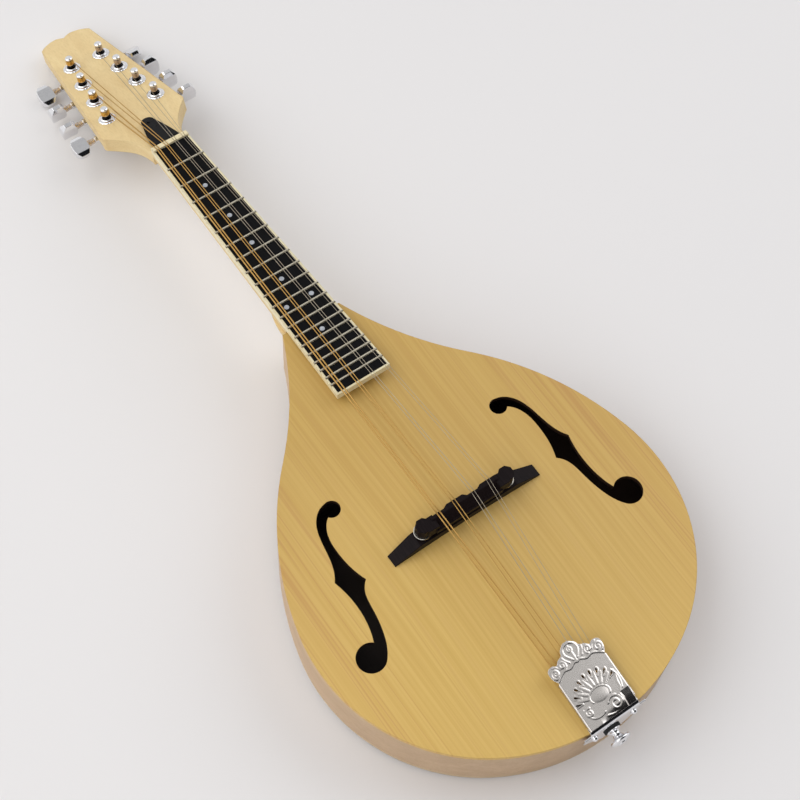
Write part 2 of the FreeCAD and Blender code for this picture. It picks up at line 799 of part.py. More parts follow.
def make_bridge():
    y = dim("bridge_place")
    shift_x = dim("bridge_shift")
    stud_low = dim("foot_top") - 5.0
    arch = arch_solid("ArchUnderBridge", named("top_thick"))
    holes = []
    studs = []
    for side in (-1, 1):
        hole = rod("StudHole", named("stud_radius"), 8.0, (0, 0, 0))
        hole.Placement = stud_axis(side) * shift(0, 0, stud_low)
        holes.append(hole)
        stud = rod("Stud", named("stud_radius"), dim("saddle_base") + 5.7 - stud_low, (0, 0, 0))
        stud.Placement = stud_axis(side) * shift(0, 0, stud_low)
        studs.append(stud)
    node(cut("BridgeBase", bridge_foot(), group("BridgeBaseCuts", [arch] + holes)), "bridge_base", LIE)
    node(group("BridgeStuds", studs), "bridge_studs", LIE)

    for word, side in (("bass", -1), ("treble", 1)):
        label = "Wheel" + word.title()
        wheel = new_body(label)
        sketch = new_sketch(wheel, label + "Plan")
        bore = dim("stud_radius") + dim("stud_fit")
        draw(sketch, [circle(0, 0, dim("wheel_radius")), circle(0, 0, bore)])
        disc = pad(wheel, sketch, named("wheel_thick"))
        doc.recompute()
        rims = ["Edge%d" % i for i, e in enumerate(disc.Shape.Edges, start=1)
                if abs(e.BoundBox.XLength - 2 * dim("wheel_radius")) < 0.1 and e.BoundBox.ZLength < 0.01]
        bevel = wheel.newObject("PartDesign::Chamfer", label + "Bevel")
        bevel.Base = (disc, rims)
        bevel.Size = 0.3
        node(wheel, "thumbwheel_" + word, LIE * stud_axis(side) * shift(0, 0, dim("wheel_base")))

    saddle = new_body("SaddleBlank")
    low = dim("saddle_base")
    tall = "Dimensions.saddle_crest - Dimensions.saddle_base"
    back = 4.4
    crest = [("g", -26.0, -15.6), ("d", -12.4, 0.0), ("a", 2.6, 10.6), ("e", 13.6, 26.0)]
    plan = [(-26.0, -back), (26.0, -back)]
    for course, left, right in reversed(crest):
        ahead = crest_place(course) - y + 0.5
        plan += [(right, ahead), (left, ahead)]
    pad(saddle, draw(new_sketch(saddle, "SaddlePlan", height=low), polygon(plan)), tall)
    ramp = new_sketch(saddle, "SaddleRamp", "YZ_Plane")
    crest_z = dim("saddle_crest")
    draw(ramp, polygon([(-6, crest_z + 1), (2.2, crest_z + 1), (2.2, crest_z), (-back + 1.0, crest_z - 5.5),
                        (-6, crest_z - 6.5)]))
    pocket_through(saddle, ramp)
    ears = []
    bores = []
    ahead = dim("stud_ahead")
    for side in (-1, 1):
        x = side * dim("stud_spread")
        ear = new_body("SaddleEar")
        corners = [(x + 5.5 * math.cos(math.radians(a)), ahead + 5.5 * math.sin(math.radians(a)))
                   for a in range(22, 382, 45)]
        pad(ear, draw(new_sketch(ear, "EarPlan", height=low), polygon(corners)), "8.6")
        ears.append(ear)
        ears.append(box("SaddleArm", (side * 28 - 4, -3.6, low), (side * 28 + 4, 5.6, low + 8.6)))
        bores.append(rod("SaddleBore", "Dimensions.stud_radius + Dimensions.stud_fit", 7.5,
                         (x, ahead, low - 0.5)))
    blank = fuse("SaddleSolid", [saddle] + ears)
    blank.Placement = shift(shift_x, y, 0)
    for bore in bores:
        bore.Placement = shift(shift_x, y, 0) * bore.Placement
    node(cut("BridgeSaddle", blank, group("SaddleBores", bores + saddle_notches())), "bridge_saddle", LIE)


# ---------------------------------------------------------------- tailpiece

def make_tailpiece():
    thick = dim("plate_thick")
    tail = dim("tail_end")
    wall = tail - 0.1
    leg_z = 1.2
    leg = box("BaseLeg", (-17.2, tail + 2.0, leg_z), (17.2, dim("hook_place") + 3.0, leg_z + thick))
    bend = new_body("BaseBend")
    inner = 2.4
    outer = inner + thick
    curves = [
        line((tail + 4.0, leg_z), (wall + inner, leg_z)),
        arc((wall + inner, leg_z), (wall + inner * 0.293, leg_z - inner * 0.293), (wall, leg_z - inner)),
        line((wall, leg_z - inner), (wall - thick, leg_z - inner)),
        arc((wall - thick, leg_z - inner), (wall + inner - outer * 0.707, leg_z - inner + outer * 0.707),
            (wall + inner, leg_z + thick)),
        line((wall + inner, leg_z + thick), (tail + 4.0, leg_z + thick)),
        line((tail + 4.0, leg_z + thick), (tail + 4.0, leg_z)),
    ]
    pad(bend, draw(new_sketch(bend, "BendSide", "YZ_Plane"), curves), "2 * Dimensions.cover_half", both=True)
    flange = new_body("BaseFlange")
    wide = dim("flange_half")
    depth = -dim("flange_depth")
    upper = leg_z - inner
    edge = [(wide, -8.0), (17.0, -15.0), (11.0, -23.0)]
    curves = [line((-wide, upper), (wide, upper)), line((wide, upper), edge[0]), spline(edge),
              arc(edge[-1], (0, depth), (-edge[-1][0], edge[-1][1])), spline(mirrored(edge)),
              line((-wide, edge[0][1]), (-wide, upper))]
    pad(flange, draw(new_sketch(flange, "FlangeOutline", "XZ_Plane"), curves), named("plate_thick"))
    flange.Placement = shift(0, wall, 0)
    gap = dim("hook_gap")
    hooks = [rod("Hook", named("hook_radius"), 4.4, (gap * (i - 3.5), dim("hook_place"), leg_z + thick - 0.4))
             for i in range(8)]
    drop = dim("button_drop")
    screw_places = [(-15.5, -8.0), (15.5, -8.0)]
    holes = [rod("ButtonHole", 2.3, 4.0, (0, wall + 1, -drop), -Y_AXIS)]
    for x, z in screw_places:
        holes.append(rod("ScrewHole", 1.6, 4.0, (x, wall + 1, z), -Y_AXIS))
    bracket = fuse("TailBracket", [leg, bend, flange] + hooks)
    node(cut("TailpieceBase", bracket, group("BracketHoles", holes)), "tailpiece_base", LIE)

    screws = []
    for x, z in screw_places:
        head = doc.addObject("Part::Sphere", "TailScrewDome")
        head.Radius = 2.4
        head.Placement = shift(x, wall - thick, z)
        half = common("TailScrewHead", head,
                      box("TailScrewSide", (x - 4, wall - thick - 4, -50), (x + 4, wall - thick, 0)))
        shank = rod("TailScrewShank", 1.4, 14.0, (x, wall - thick - 0.5, z), Y_AXIS)
        screws.append(fuse("TailScrew", [half, shank]))
    node(group("TailScrews", screws), "tailpiece_screws", LIE)

    face = wall - thick
    pad_ring = cut("FeltRing", rod("FeltDisc", 6.0, 1.2, (0, face, -drop), -Y_AXIS),
                   rod("FeltHole", 2.3, 4.0, (0, face + 1, -drop), -Y_AXIS))
    node(pad_ring, "strap_button_washer", LIE)
    button = new_body("StrapButton")
    outlines = [line((2.2, 0), (5.0, 0)), line((5.0, 0), (5.0, 0.8)),
                spline([(5.0, 0.8), (3.4, 1.8), (2.9, 3.4), (3.4, 5.0), (6.2, 6.6)]),
                arc((6.2, 6.6), (7.5, 7.9), (6.2, 9.2)), line((6.2, 9.2), (4.2, 9.8)),
                line((4.2, 9.8), (2.2, 7.8)), line((2.2, 7.8), (2.2, 0))]
    revolve(button, draw(new_sketch(button, "ButtonSide", "XZ_Plane"), outlines))
    frame = FreeCAD.Placement(V(0, face - 1.2, -drop), FreeCAD.Rotation(Z_AXIS, -Y_AXIS))
    node(button, "strap_button", LIE * frame)
    screw = new_body("ButtonScrew")
    outlines = polygon([(0, -20), (1.9, -18), (1.9, 7.6), (3.9, 9.6), (3.3, 10.3), (0, 10.7)])
    revolve(screw, draw(new_sketch(screw, "ButtonScrewSide", "XZ_Plane"), outlines))
    node(screw, "strap_button_screw", LIE * frame)

    half = dim("cover_half")
    cover = new_body("TailCover")
    side_end = 34.0
    crown = [(17.9, 35.2), (20.1, 39.0), (20.4, 43.4), (18.7, 45.7), (15.6, 46.2), (13.0, 45.0), (10.4, 47.1),
             (7.1, 48.5), (5.6, 51.4), (2.0, 54.1), (0, 54.3)]
    crest = crown + mirrored(crown)[1:]
    plan = [line((-half, 0), (half, 0)), line((half, 0), (half, side_end)), line((half, side_end), crown[0]),
            spline(crest), line(crest[-1], (-half, side_end)), line((-half, side_end), (-half, 0))]
    pad(cover, draw(new_sketch(cover, "CoverOutline"), plan), named("cover_thick"))
    for word, side in (("Bass", -1), ("Treble", 1)):
        inner = side * (half - dim("cover_thick"))
        skirt = polygon([(side * half, 3.6), (side * half, side_end), (inner, side_end), (inner, 3.6)])
        pad(cover, draw(new_sketch(cover, "Skirt" + word), skirt), "3.2", down=True)
    slots = new_sketch(cover, "CoverSlots")
    for index in range(9):
        ray = turned(Z_AXIS, 168 - 17 * index, 0, 14.0)
        drop_shape = [ray.multVec(V(r, w, 0)) for r, w in
                      ((13.4, 0), (16.6, -0.62), (17.9, -0.3), (17.9, 0.3), (16.6, 0.62))]
        draw(slots, polygon([(p.x, p.y) for p in drop_shape]))
    pocket_through(cover, slots)
    node(cover, "tailpiece_cover", LIE * COVER)


# ---------------------------------------------------------------- tuners

def shaft_offset():
    """The worm shaft passes beside the gear, on the tip's side of the post."""
    return dim("gear_radius") + dim("shaft_radius") + 0.1


def tuner_housing(label, side):
    deck = -dim("head_thick")
    floor = -dim("housing_floor")
    offset = shaft_offset()
    drop = -dim("shaft_drop")
    low_x, high_x = (-6.5, 7.5) if side > 0 else (-7.5, 6.5)
    shell = box(label + "Shell", (low_x, -6.5, floor), (high_x, 8.0, deck))
    rounded = doc.addObject("Part::Fillet", label + "Round")
    rounded.Base = shell
    doc.recompute()
    edges = [(i, 1.6, 1.6) for i, e in enumerate(shell.Shape.Edges, start=1)
             if e.BoundBox.ZMax < deck - 0.5 or e.BoundBox.ZLength > 5]
    rounded.Edges = edges
    outward = X_AXIS if side > 0 else -X_AXIS
    neck = rod(label + "Neck", 2.7, 7.0, (side * 6.5, offset, drop), outward)
    ear = rod(label + "Ear", 2.6, 1.6, (-side * 8.2, 0, deck - 1.6))
    ear_bridge = box(label + "EarBridge", (min(-side * 8.2, -side * 5), -2.6, deck - 1.6),
                     (max(-side * 8.2, -side * 5), 2.6, deck))
    solid = fuse(label + "Solid", [rounded, neck, ear, ear_bridge])
    gear_room = rod(label + "GearRoom", "Dimensions.gear_radius + 0.3", 6.0, (0, 0, drop - 3.0))
    post_room = rod(label + "PostRoom", "Dimensions.post_radius + Dimensions.post_fit", 20.0, (0, 0, drop))
    shaft_room = rod(label + "ShaftRoom", "Dimensions.shaft_radius + Dimensions.shaft_fit", 26.0,
                     (-side * 5.4, offset, drop), outward)
    ear_hole = rod(label + "EarHole", 1.3, 4.0, (-side * 8.2, 0, deck - 3.0))
    return cut(label, solid, group(label + "Rooms", [gear_room, post_room, shaft_room, ear_hole]))


def tuner_post(label):
    body = new_body(label)
    drop = -dim("shaft_drop")
    radius = dim("post_radius")
    waist = dim("post_waist")
    top = dim("post_top")
    gear = dim("gear_radius")
    profile = [(0, drop - 2.6), (gear, drop - 2.6), (gear, drop + 2.6), (radius - 0.4, drop + 2.6),
               (radius, drop + 3.0), (radius, 3.2), (waist, 3.8), (waist, 8.0), (radius - 0.2, 8.6),
               (radius, 9.0), (radius, top - 0.7), (radius - 0.7, top), (0, top)]
    revolve(body, draw(new_sketch(body, label + "Side", "XZ_Plane"), polygon(profile)))
    hole = new_sketch(body, label + "StringHole", "XZ_Plane")
    draw(hole, [circle(0, 7.3, 0.6)])
    pocket_through(body, hole)
    return body


def tuner_knob(label):
    """Worm shaft along +X with the button on its outer end, in a frame on the shaft's axis."""
    body = new_body(label)
    radius = dim("shaft_radius")
    profile = [(-5.0, 0), (-5.0, radius), (14.0, radius), (14.0, 2.1), (16.2, 2.1), (16.2, 1.6), (16.8, 1.6),
               (16.8, 2.4), (19.2, 2.4), (19.2, 1.9), (20.4, 1.9), (20.4, 0)]
    revolve(body, draw(new_sketch(body, label + "Shaft", "XZ_Plane"), polygon(profile)), "H_Axis")
    half = dim("knob_half")
    thick = dim("knob_thick") / 2
    section = [(half, 1.6), (half - 3.2, thick)]
    section += [(-y, z) for y, z in reversed(section)]
    section += [(-y, -z) for y, z in section]
    bar = new_body(label + "Bar")
    pad(bar, draw(new_sketch(bar, label + "Section", "YZ_Plane", height=19.6), polygon(section)), "12.6")
    view = new_body(label + "View")
    edge = [(19.6, 3.6), (22.2, half - 0.4), (23.6, half), (29.0, half), (31.4, half - 3.0)]
    plan = [line((19.6, -3.6), (19.6, 3.6))]
    plan += [line(a, b) for a, b in zip(edge, edge[1:])]
    plan.append(arc(edge[-1], (32.2, 0), (edge[-1][0], -edge[-1][1])))
    below = [(x, -y) for x, y in reversed(edge)]
    plan += [line(a, b) for a, b in zip(below, below[1:])]
    pad(view, draw(new_sketch(view, label + "Outline"), plan), "20", both=True)
    return fuse(label + "Solid", [body, common(label + "Grip", bar, view)])


def make_tuners():
    housings = []
    bushings = []
    washers = []
    screws = []
    deck = -dim("head_thick")
    for word, side in (("bass", -1), ("treble", 1)):
        for index, (x, y) in enumerate(TUNER_PLACES):
            label = word.title() + str(index + 1)
            spot = shift(side * x, y, 0)
            housing = tuner_housing("Housing" + label, side)
            housing.Placement = spot
            housings.append(housing)

            bore = rod("BushBore" + label, "Dimensions.post_radius + Dimensions.post_fit", 20.0, (0, 0, -15))
            corners = [(5.0 * math.cos(math.radians(a)), 5.0 * math.sin(math.radians(a)))
                       for a in range(0, 360, 60)]
            hexagon = new_body("BushHex" + label)
            pad(hexagon, draw(new_sketch(hexagon, "BushHexPlan" + label, height=1.0), polygon(corners)), "1.9")
            sleeve = rod("BushSleeve" + label, 3.95, 1.2 - deck, (0, 0, deck + 0.1))
            bushing = cut("Bushing" + label, fuse("BushSolid" + label, [hexagon, sleeve]), bore)
            bushing.Placement = spot
            bushings.append(bushing)

            ring = new_body("Washer" + label)
            profile = polygon([(4.0, 0), (6.5, 0), (6.5, 0.45), (5.7, 0.98), (4.0, 0.98)])
            revolve(ring, draw(new_sketch(ring, "WasherSide" + label, "XZ_Plane"), profile))
            ring.Placement = spot
            washers.append(ring)

            head = rod("ScrewHead" + label, 1.6, 1.0, (-side * 8.2, 0, deck - 2.6))
            shank = rod("ScrewShank" + label, 0.95, 8.6, (-side * 8.2, 0, deck - 1.8))
            screw = fuse("TunerScrew" + label, [head, shank])
            screw.Placement = spot
            screws.append(screw)

            node(tuner_post("Post" + label), "post_%s_%d" % (word, index + 1), LIE * HEAD * spot)
            axis = shift(side * x, y + shaft_offset(), -dim("shaft_drop"))
            facing = turned(Z_AXIS, 0 if side > 0 else 180)
            twist = turned(X_AXIS, KNOB_TURNS[word][index])
            node(tuner_knob("Knob" + label), "knob_%s_%d" % (word, index + 1),
                 LIE * HEAD * axis * facing * twist)
    node(group("TunerHousings", housings), "tuner_housings", LIE * HEAD)
    node(group("TunerBushings", bushings), "tuner_bushings", LIE * HEAD)
    node(group("TunerWashers", washers), "tuner_washers", LIE * HEAD)
    node(group("TunerScrews", screws), "tuner_screws", LIE * HEAD)


# ---------------------------------------------------------------- build and export

def centre_over_origin():
    """Moves every sub-part alike, so that the bottom centre of their common box is the origin."""
    room = FreeCAD.BoundBox()
    for obj in NODES:
        room.add(obj.Shape.optimalBoundingBox(True, False))
    move = shift(-(room.XMin + room.XMax) / 2, -(room.YMin + room.YMax) / 2, -room.ZMin)
    for obj in NODES:
        obj.Placement = move * obj.Placement
    return move


def check_document():
    for obj in doc.Objects:
        if "Invalid" in obj.State or "Error" in obj.State:
            raise RuntimeError("%s is %s" % (obj.Name, obj.State))


def export_nodes():
    os.makedirs("parts", exist_ok=True)
    for obj in NODES:
        shape = obj.Shape
        if shape.isNull() or not shape.isValid():
            raise RuntimeError(obj.Label + " has no valid shape")
        shape.exportStep("parts/%s.step" % obj.Label)


make_body()
make_neck()
make_fretboard()
make_nut()
make_bridge()
make_tailpiece()
make_tuners()
make_strings()
doc.recompute()
centre_over_origin()
doc.recompute()
check_document()
export_nodes()
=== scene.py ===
import bpy
import bmesh
import json
import math
import numpy as np
from mathutils import Matrix, Vector


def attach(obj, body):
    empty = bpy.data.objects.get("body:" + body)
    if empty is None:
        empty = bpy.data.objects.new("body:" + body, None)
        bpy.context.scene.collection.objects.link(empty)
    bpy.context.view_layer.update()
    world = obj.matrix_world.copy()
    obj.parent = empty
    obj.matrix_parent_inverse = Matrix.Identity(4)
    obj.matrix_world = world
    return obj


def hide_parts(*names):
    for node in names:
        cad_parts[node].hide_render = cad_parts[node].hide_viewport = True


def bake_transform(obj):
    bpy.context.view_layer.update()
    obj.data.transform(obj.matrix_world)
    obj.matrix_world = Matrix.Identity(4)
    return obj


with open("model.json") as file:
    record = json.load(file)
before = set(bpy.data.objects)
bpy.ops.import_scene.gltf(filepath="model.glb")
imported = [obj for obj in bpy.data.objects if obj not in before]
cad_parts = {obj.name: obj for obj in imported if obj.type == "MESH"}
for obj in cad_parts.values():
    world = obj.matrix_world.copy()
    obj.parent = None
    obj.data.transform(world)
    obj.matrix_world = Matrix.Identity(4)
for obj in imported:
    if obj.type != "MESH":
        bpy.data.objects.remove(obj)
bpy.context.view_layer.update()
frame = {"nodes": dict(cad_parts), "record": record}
nodes = frame["nodes"]

# ------------------------------------------------------------------ frames of the CAD model, in metres


def tilted(base, y, z, degrees):
    """A frame shifted within the middle plane of another one, then turned about its X axis."""
    return base @ Matrix.Translation((0, y, z)) @ Matrix.Rotation(math.radians(degrees), 4, "X")


# The body's frame stands on the rim plane of the top, below the nut. The neck is set back from the body,
# the headstock from the neck, and the tailpiece's cover slopes down to the tail.
BODY = tilted(Matrix.Identity(4), 0.1784395, 0.0769593, 3.16987)
NECK = tilted(BODY, 0, -0.0126, -5.8)
HEAD = tilted(NECK, 0, -0.004, -12.3)
COVER = tilted(BODY, -0.524, 0.004, 8.7)


def place(frame_matrix, x, y, z):
    """A point given in millimetres in one of the four frames, in metres in the row frame."""
    return frame_matrix @ Vector((x / 1000, y / 1000, z / 1000))


# ------------------------------------------------------------------ material helpers

def colour_mix(tree, kind="MIX"):
    """A colour mix node's sockets: amount, first, second and result."""
    node = tree.nodes.new("ShaderNodeMix")
    node.data_type = "RGBA"
    node.blend_type = kind
    first, second = [i for i in node.inputs if i.type == "RGBA"]
    result = next(o for o in node.outputs if o.type == "RGBA")
    return node.inputs["Factor"], first, second, result


class Paint:
    """A node material with a few short ways to add and link nodes."""

    def __init__(self, name, roughness, metallic=0.0):
        self.material = bpy.data.materials.new(name)
        self.material.use_nodes = True
        self.tree = self.material.node_tree
        self.shader = self.tree.nodes["Principled BSDF"]
        self.shader.inputs["Roughness"].default_value = roughness
        self.shader.inputs["Metallic"].default_value = metallic
        self.coords = self.tree.nodes.new("ShaderNodeTexCoord").outputs["Object"]

    def feed(self, socket, value):
        if isinstance(value, bpy.types.NodeSocket):
            self.tree.links.new(value, socket)
        else:
            socket.default_value = value

    def math(self, operation, a, b=0.0, c=0.0):
        node = self.tree.nodes.new("ShaderNodeMath")
        node.operation = operation
        for socket, value in zip(node.inputs, (a, b, c)):
            self.feed(socket, value)
        return node.outputs[0]

    def plus(self, a, b):
        return self.math("ADD", a, b)

    def minus(self, a, b):
        return self.math("SUBTRACT", a, b)

    def times(self, a, b):
        return self.math("MULTIPLY", a, b)

    def size(self, a):
        return self.math("ABSOLUTE", a)

    def split(self, vector=None):
        node = self.tree.nodes.new("ShaderNodeSeparateXYZ")
        self.feed(node.inputs[0], vector or self.coords)
        return node.outputs

    def join(self, x, y, z):
        node = self.tree.nodes.new("ShaderNodeCombineXYZ")
        for socket, value in zip(node.inputs, (x, y, z)):
            self.feed(socket, value)
        return node.outputs[0]

    def stretch(self, x, y, z):
        """The piece's own coordinates, scaled along each axis."""
        node = self.tree.nodes.new("ShaderNodeMapping")
        self.feed(node.inputs["Vector"], self.coords)
        node.inputs["Scale"].default_value = (x, y, z)
        return node.outputs[0]

    def noise(self, vector, scale=1.0, detail=3.0, roughness=0.5, warp=0.0):
        node = self.tree.nodes.new("ShaderNodeTexNoise")
        self.feed(node.inputs["Vector"], vector)
        node.inputs["Scale"].default_value = scale
        node.inputs["Detail"].default_value = detail
        node.inputs["Roughness"].default_value = roughness
        node.inputs["Distortion"].default_value = warp
        return node.outputs["Fac"]

    def ramp(self, value, *stops):
        """Greys between the stops, each a position and a level."""
        node = self.tree.nodes.new("ShaderNodeValToRGB")
        self.feed(node.inputs[0], value)
        points = node.color_ramp.elements
        while len(points) < len(stops):
            points.new(0.5)
        for point, (position, level) in zip(points, stops):
            point.position = position
            point.color = (level, level, level, 1)
        return node.outputs["Color"]

    def mix(self, amount, a, b, kind="MIX"):
        factor, first, second, result = colour_mix(self.tree, kind)
        self.feed(factor, amount)
        for socket, value in ((first, a), (second, b)):
            self.feed(socket, value if isinstance(value, bpy.types.NodeSocket) else (*value, 1))
        return result

    def bump(self, height, strength, distance, edge=0.0):
        """Fine relief; edge is the radius, in metres, by which corners look rounded."""
        node = self.tree.nodes.new("ShaderNodeBump")
        if edge:
            corner = self.tree.nodes.new("ShaderNodeBevel")
            corner.samples = 6
            corner.inputs["Radius"].default_value = edge
            self.feed(node.inputs["Normal"], corner.outputs[0])
        node.inputs["Strength"].default_value = strength
        node.inputs["Distance"].default_value = distance
        self.feed(node.inputs["Height"], height)
        self.feed(self.shader.inputs["Normal"], node.outputs[0])

    def colour(self, value):
        self.feed(self.shader.inputs["Base Color"], value)

    def rough(self, value):
        self.feed(self.shader.inputs["Roughness"], value)

    def shine(self, level):
        self.shader.inputs["Specular IOR Level"].default_value = level


# ------------------------------------------------------------------ wood

SPRUCE_PALE, SPRUCE_RING = (0.685, 0.466, 0.134), (0.62, 0.400, 0.102)
SPRUCE_BOLD = (0.52, 0.27, 0.085)
SPRUCE_EDGE = (0.66, 0.40, 0.11)
SPRUCE_FINE = (0.52, 0.33, 0.10)
SPRUCE_PATCH = (0.64, 0.42, 0.14)
# Painted shade: multiplied over the top where it darkens towards the neck and the treble side.
SPRUCE_PAINTED_SHADE = (0.865, 0.835, 0.80)
# Painted shade: near black brown for the inside of the body and the top beneath the tailpiece's end.
PAINTED_SHADE_BROWN = (0.026, 0.011, 0.006)
# Both f-holes lie in a circle in the lower bout, this far out from the middle plane.
HOLES_BEYOND = 0.058
HOLES_CENTRE, HOLES_REACH = -0.205, 0.121
RIB_CENTRE = -0.20
# Half width, y and reach along Y of the painted shadow on the top beneath the tailpiece's end.
PAINTED_SHADOW_HALF, PAINTED_SHADOW_Y, PAINTED_SHADOW_REACH = 0.0172, -0.3204, 0.0078


def distance_out(paint, x, y):
    """Below zero well inside the lower bout, where the f-holes are."""
    along = paint.minus(y, HOLES_CENTRE)
    radius = paint.math("SQRT", paint.plus(paint.times(x, x), paint.times(along, along)))
    return paint.minus(radius, HOLES_REACH)


def painted_inside_shade(paint, tone, plate):
    """Painted shade: dark brown on the faces that look into the body, and on the walls of the f-holes, where
    shade falls.
    """
    normal = paint.tree.nodes.new("ShaderNodeNewGeometry").outputs["Normal"]
    nx, ny, nz = paint.split(normal)
    x, y, _ = paint.split()
    if plate == "top":
        off_middle = paint.math("GREATER_THAN", paint.size(x), HOLES_BEYOND)
        near_hole = paint.times(off_middle, paint.math("LESS_THAN", distance_out(paint, x, y), 0.0))
        underside = paint.math("LESS_THAN", nz, -0.3)
        hole_wall = paint.times(near_hole, paint.math("LESS_THAN", nz, 0.6))
        inner = paint.math("MAXIMUM", underside, hole_wall)
    elif plate == "back":
        inner = paint.math("GREATER_THAN", nz, 0.7)
    else:
        outward = paint.plus(paint.times(nx, x), paint.times(ny, paint.minus(y, RIB_CENTRE)))
        inner = paint.math("LESS_THAN", outward, 0.0)
    return paint.mix(inner, tone, PAINTED_SHADE_BROWN)


def spruce_top():
    """Two matched halves with fine rings, bold rings towards the edges, painted shade darkening the top
    towards the neck and the treble side, and a painted shadow beneath the tailpiece's end.
    """
    paint = Paint("spruce_top", 0.5)
    x, y, _ = paint.split()
    from_seam = paint.size(x)
    drift = paint.noise(paint.stretch(7, 2.2, 2), 1, 2)
    wander = paint.times(paint.minus(drift, 0.5), 0.012)
    side = paint.plus(paint.size(paint.plus(x, 0.0006)), wander)

    def growth(across, along, offset, detail):
        """Noise drawn out along the grain; across and along are its waves per metre."""
        return paint.noise(paint.join(paint.times(side, across), paint.times(y, along), offset), 1, detail)

    rings = growth(520, 3, 0, 2)
    fine = growth(1900, 22, 0, 2)
    bold = growth(150, 1.4, 3, 1)
    patch = paint.noise(paint.coords, 9, 3)
    outer = paint.ramp(from_seam, (0.055, 0.16), (0.115, 1.0))
    line = paint.ramp(bold, (0.44, 0.0), (0.485, 1.0), (0.5, 1.0), (0.53, 0.0))
    tone = paint.mix(paint.ramp(rings, (0.36, 0.0), (0.64, 1.0)), SPRUCE_PALE, SPRUCE_RING)
    tone = paint.mix(paint.times(paint.times(line, outer), 0.7), tone, SPRUCE_BOLD)
    tone = paint.mix(paint.ramp(from_seam, (0.07, 0.0), (0.135, 0.3)), tone, SPRUCE_EDGE)
    tone = paint.mix(paint.ramp(fine, (0.3, 0.14), (0.7, 0.0)), tone, SPRUCE_FINE)
    tone = paint.mix(paint.ramp(patch, (0.35, 0.0), (0.7, 0.22)), tone, SPRUCE_PATCH)
    # Painted shade: the top grows darker towards the neck and the treble side.
    shade_slope = paint.math("MULTIPLY_ADD", paint.math("MULTIPLY_ADD", x, 0.6, y), 2.0, 0.8)
    tone = paint.mix(paint.ramp(shade_slope, (0.16, 0.0), (0.56, 1.0)), tone, SPRUCE_PAINTED_SHADE, "MULTIPLY")
    # Painted shadow: the top beneath the tailpiece's end is near black, as shade under the cover.
    painted_shadow_end = paint.times(paint.math("LESS_THAN", from_seam, PAINTED_SHADOW_HALF),
                           paint.math("COMPARE", y, PAINTED_SHADOW_Y, PAINTED_SHADOW_REACH))
    tone = paint.mix(painted_shadow_end, tone, PAINTED_SHADE_BROWN)
    paint.colour(painted_inside_shade(paint, tone, "top"))
    paint.rough(paint.ramp(fine, (0.2, 0.44), (0.8, 0.56)))
    paint.bump(paint.plus(rings, paint.times(fine, 0.6)), 0.18, 0.00012, 0.0006)
    return paint.material


def pale_wood(name, light, dark, roughness=0.52, flame=0.0, edge=0.0005, plate=None):
    """Sanded hardwood, grain along Y: long soft grain, short dark pores and a faint cross figure; with a
    plate, painted shade on the faces inside the body.
    """
    paint = Paint(name, roughness)
    grain = paint.noise(paint.stretch(900, 14, 900), 1, 3)
    wide = paint.noise(paint.stretch(90, 3, 90), 1, 3, 0.55, 0.6)
    pores = paint.noise(paint.stretch(2600, 160, 2600), 1, 1)
    tone = paint.mix(paint.ramp(wide, (0.3, 0.0), (0.72, 1.0)), light, dark)
    deep = tuple(c * 0.78 for c in dark)
    tone = paint.mix(paint.ramp(grain, (0.45, 0.0), (0.75, 0.3)), tone, deep)
    tone = paint.mix(paint.ramp(pores, (0.66, 0.0), (0.74, 0.35)), tone, deep)
    if flame:
        cross = paint.noise(paint.stretch(34, 34, 4), 1, 2, 0.5, 0.4)
        tone = paint.mix(paint.ramp(cross, (0.4, 0.0), (0.65, flame)), tone, deep)
    paint.colour(painted_inside_shade(paint, tone, plate) if plate else tone)
    paint.rough(paint.ramp(grain, (0.2, roughness - 0.05), (0.8, roughness + 0.08)))
    paint.bump(paint.minus(grain, paint.times(pores, 0.5)), 0.16, 0.0001, edge)
    return paint.material


def black_wood(name, roughness, tint, shine, edge):
    """Ebonised wood with slightly paler streaks along Y."""
    paint = Paint(name, roughness)
    paint.shine(shine)
    streak = paint.noise(paint.stretch(1300, 60, 1300), 1, 3)
    paint.colour(paint.mix(paint.ramp(streak, (0.35, 0.0), (0.75, 1.0)), tint, tuple(c * 2.2 for c in tint)))
    paint.rough(paint.ramp(streak, (0.2, roughness - 0.06), (0.8, roughness + 0.1)))
    paint.bump(streak, 0.25, 0.00012, edge)
    return paint.material


# ------------------------------------------------------------------ plastics and metals

CHROME, CHROME_DULL = (0.84, 0.84, 0.86), (0.79, 0.79, 0.81)
BAR_TINT = (0.66, 0.55, 0.44)
POST_SHADE = (0.010, 0.009, 0.009)


def polymer(name, colour, other, roughness, scale=220.0, coat=0.0, shine=0.5):
    """Plastic, bone, pearl or felt with a soft mottling."""
    paint = Paint(name, roughness)
    paint.shine(shine)
    mottled = paint.noise(paint.coords, scale, 3)
    paint.colour(paint.mix(paint.ramp(mottled, (0.3, 0.0), (0.7, 1.0)), colour, other))
    paint.rough(paint.ramp(mottled, (0.2, roughness - 0.05), (0.8, roughness + 0.07)))
    paint.bump(paint.noise(paint.coords, scale * 6, 2), 0.06, 0.00005, 0.0003)
    paint.shader.inputs["Coat Weight"].default_value = coat
    return paint.material


def metal(name, colour, roughness, scale, grime, edge=0.0):
    """Plain metal, a little duller in patches."""
    paint = Paint(name, roughness, metallic=1.0)
    wear = paint.noise(paint.coords, scale, 4)
    dull = tuple(c * (1 - grime) for c in colour)
    paint.colour(paint.mix(paint.ramp(wear, (0.4, 0.0), (0.75, 1.0)), colour, dull))
    paint.rough(paint.ramp(wear, (0.3, max(0.03, roughness - 0.03)), (0.8, roughness + 0.06)))
    paint.bump(wear, 0.04, 0.00005, edge)
    return paint.material


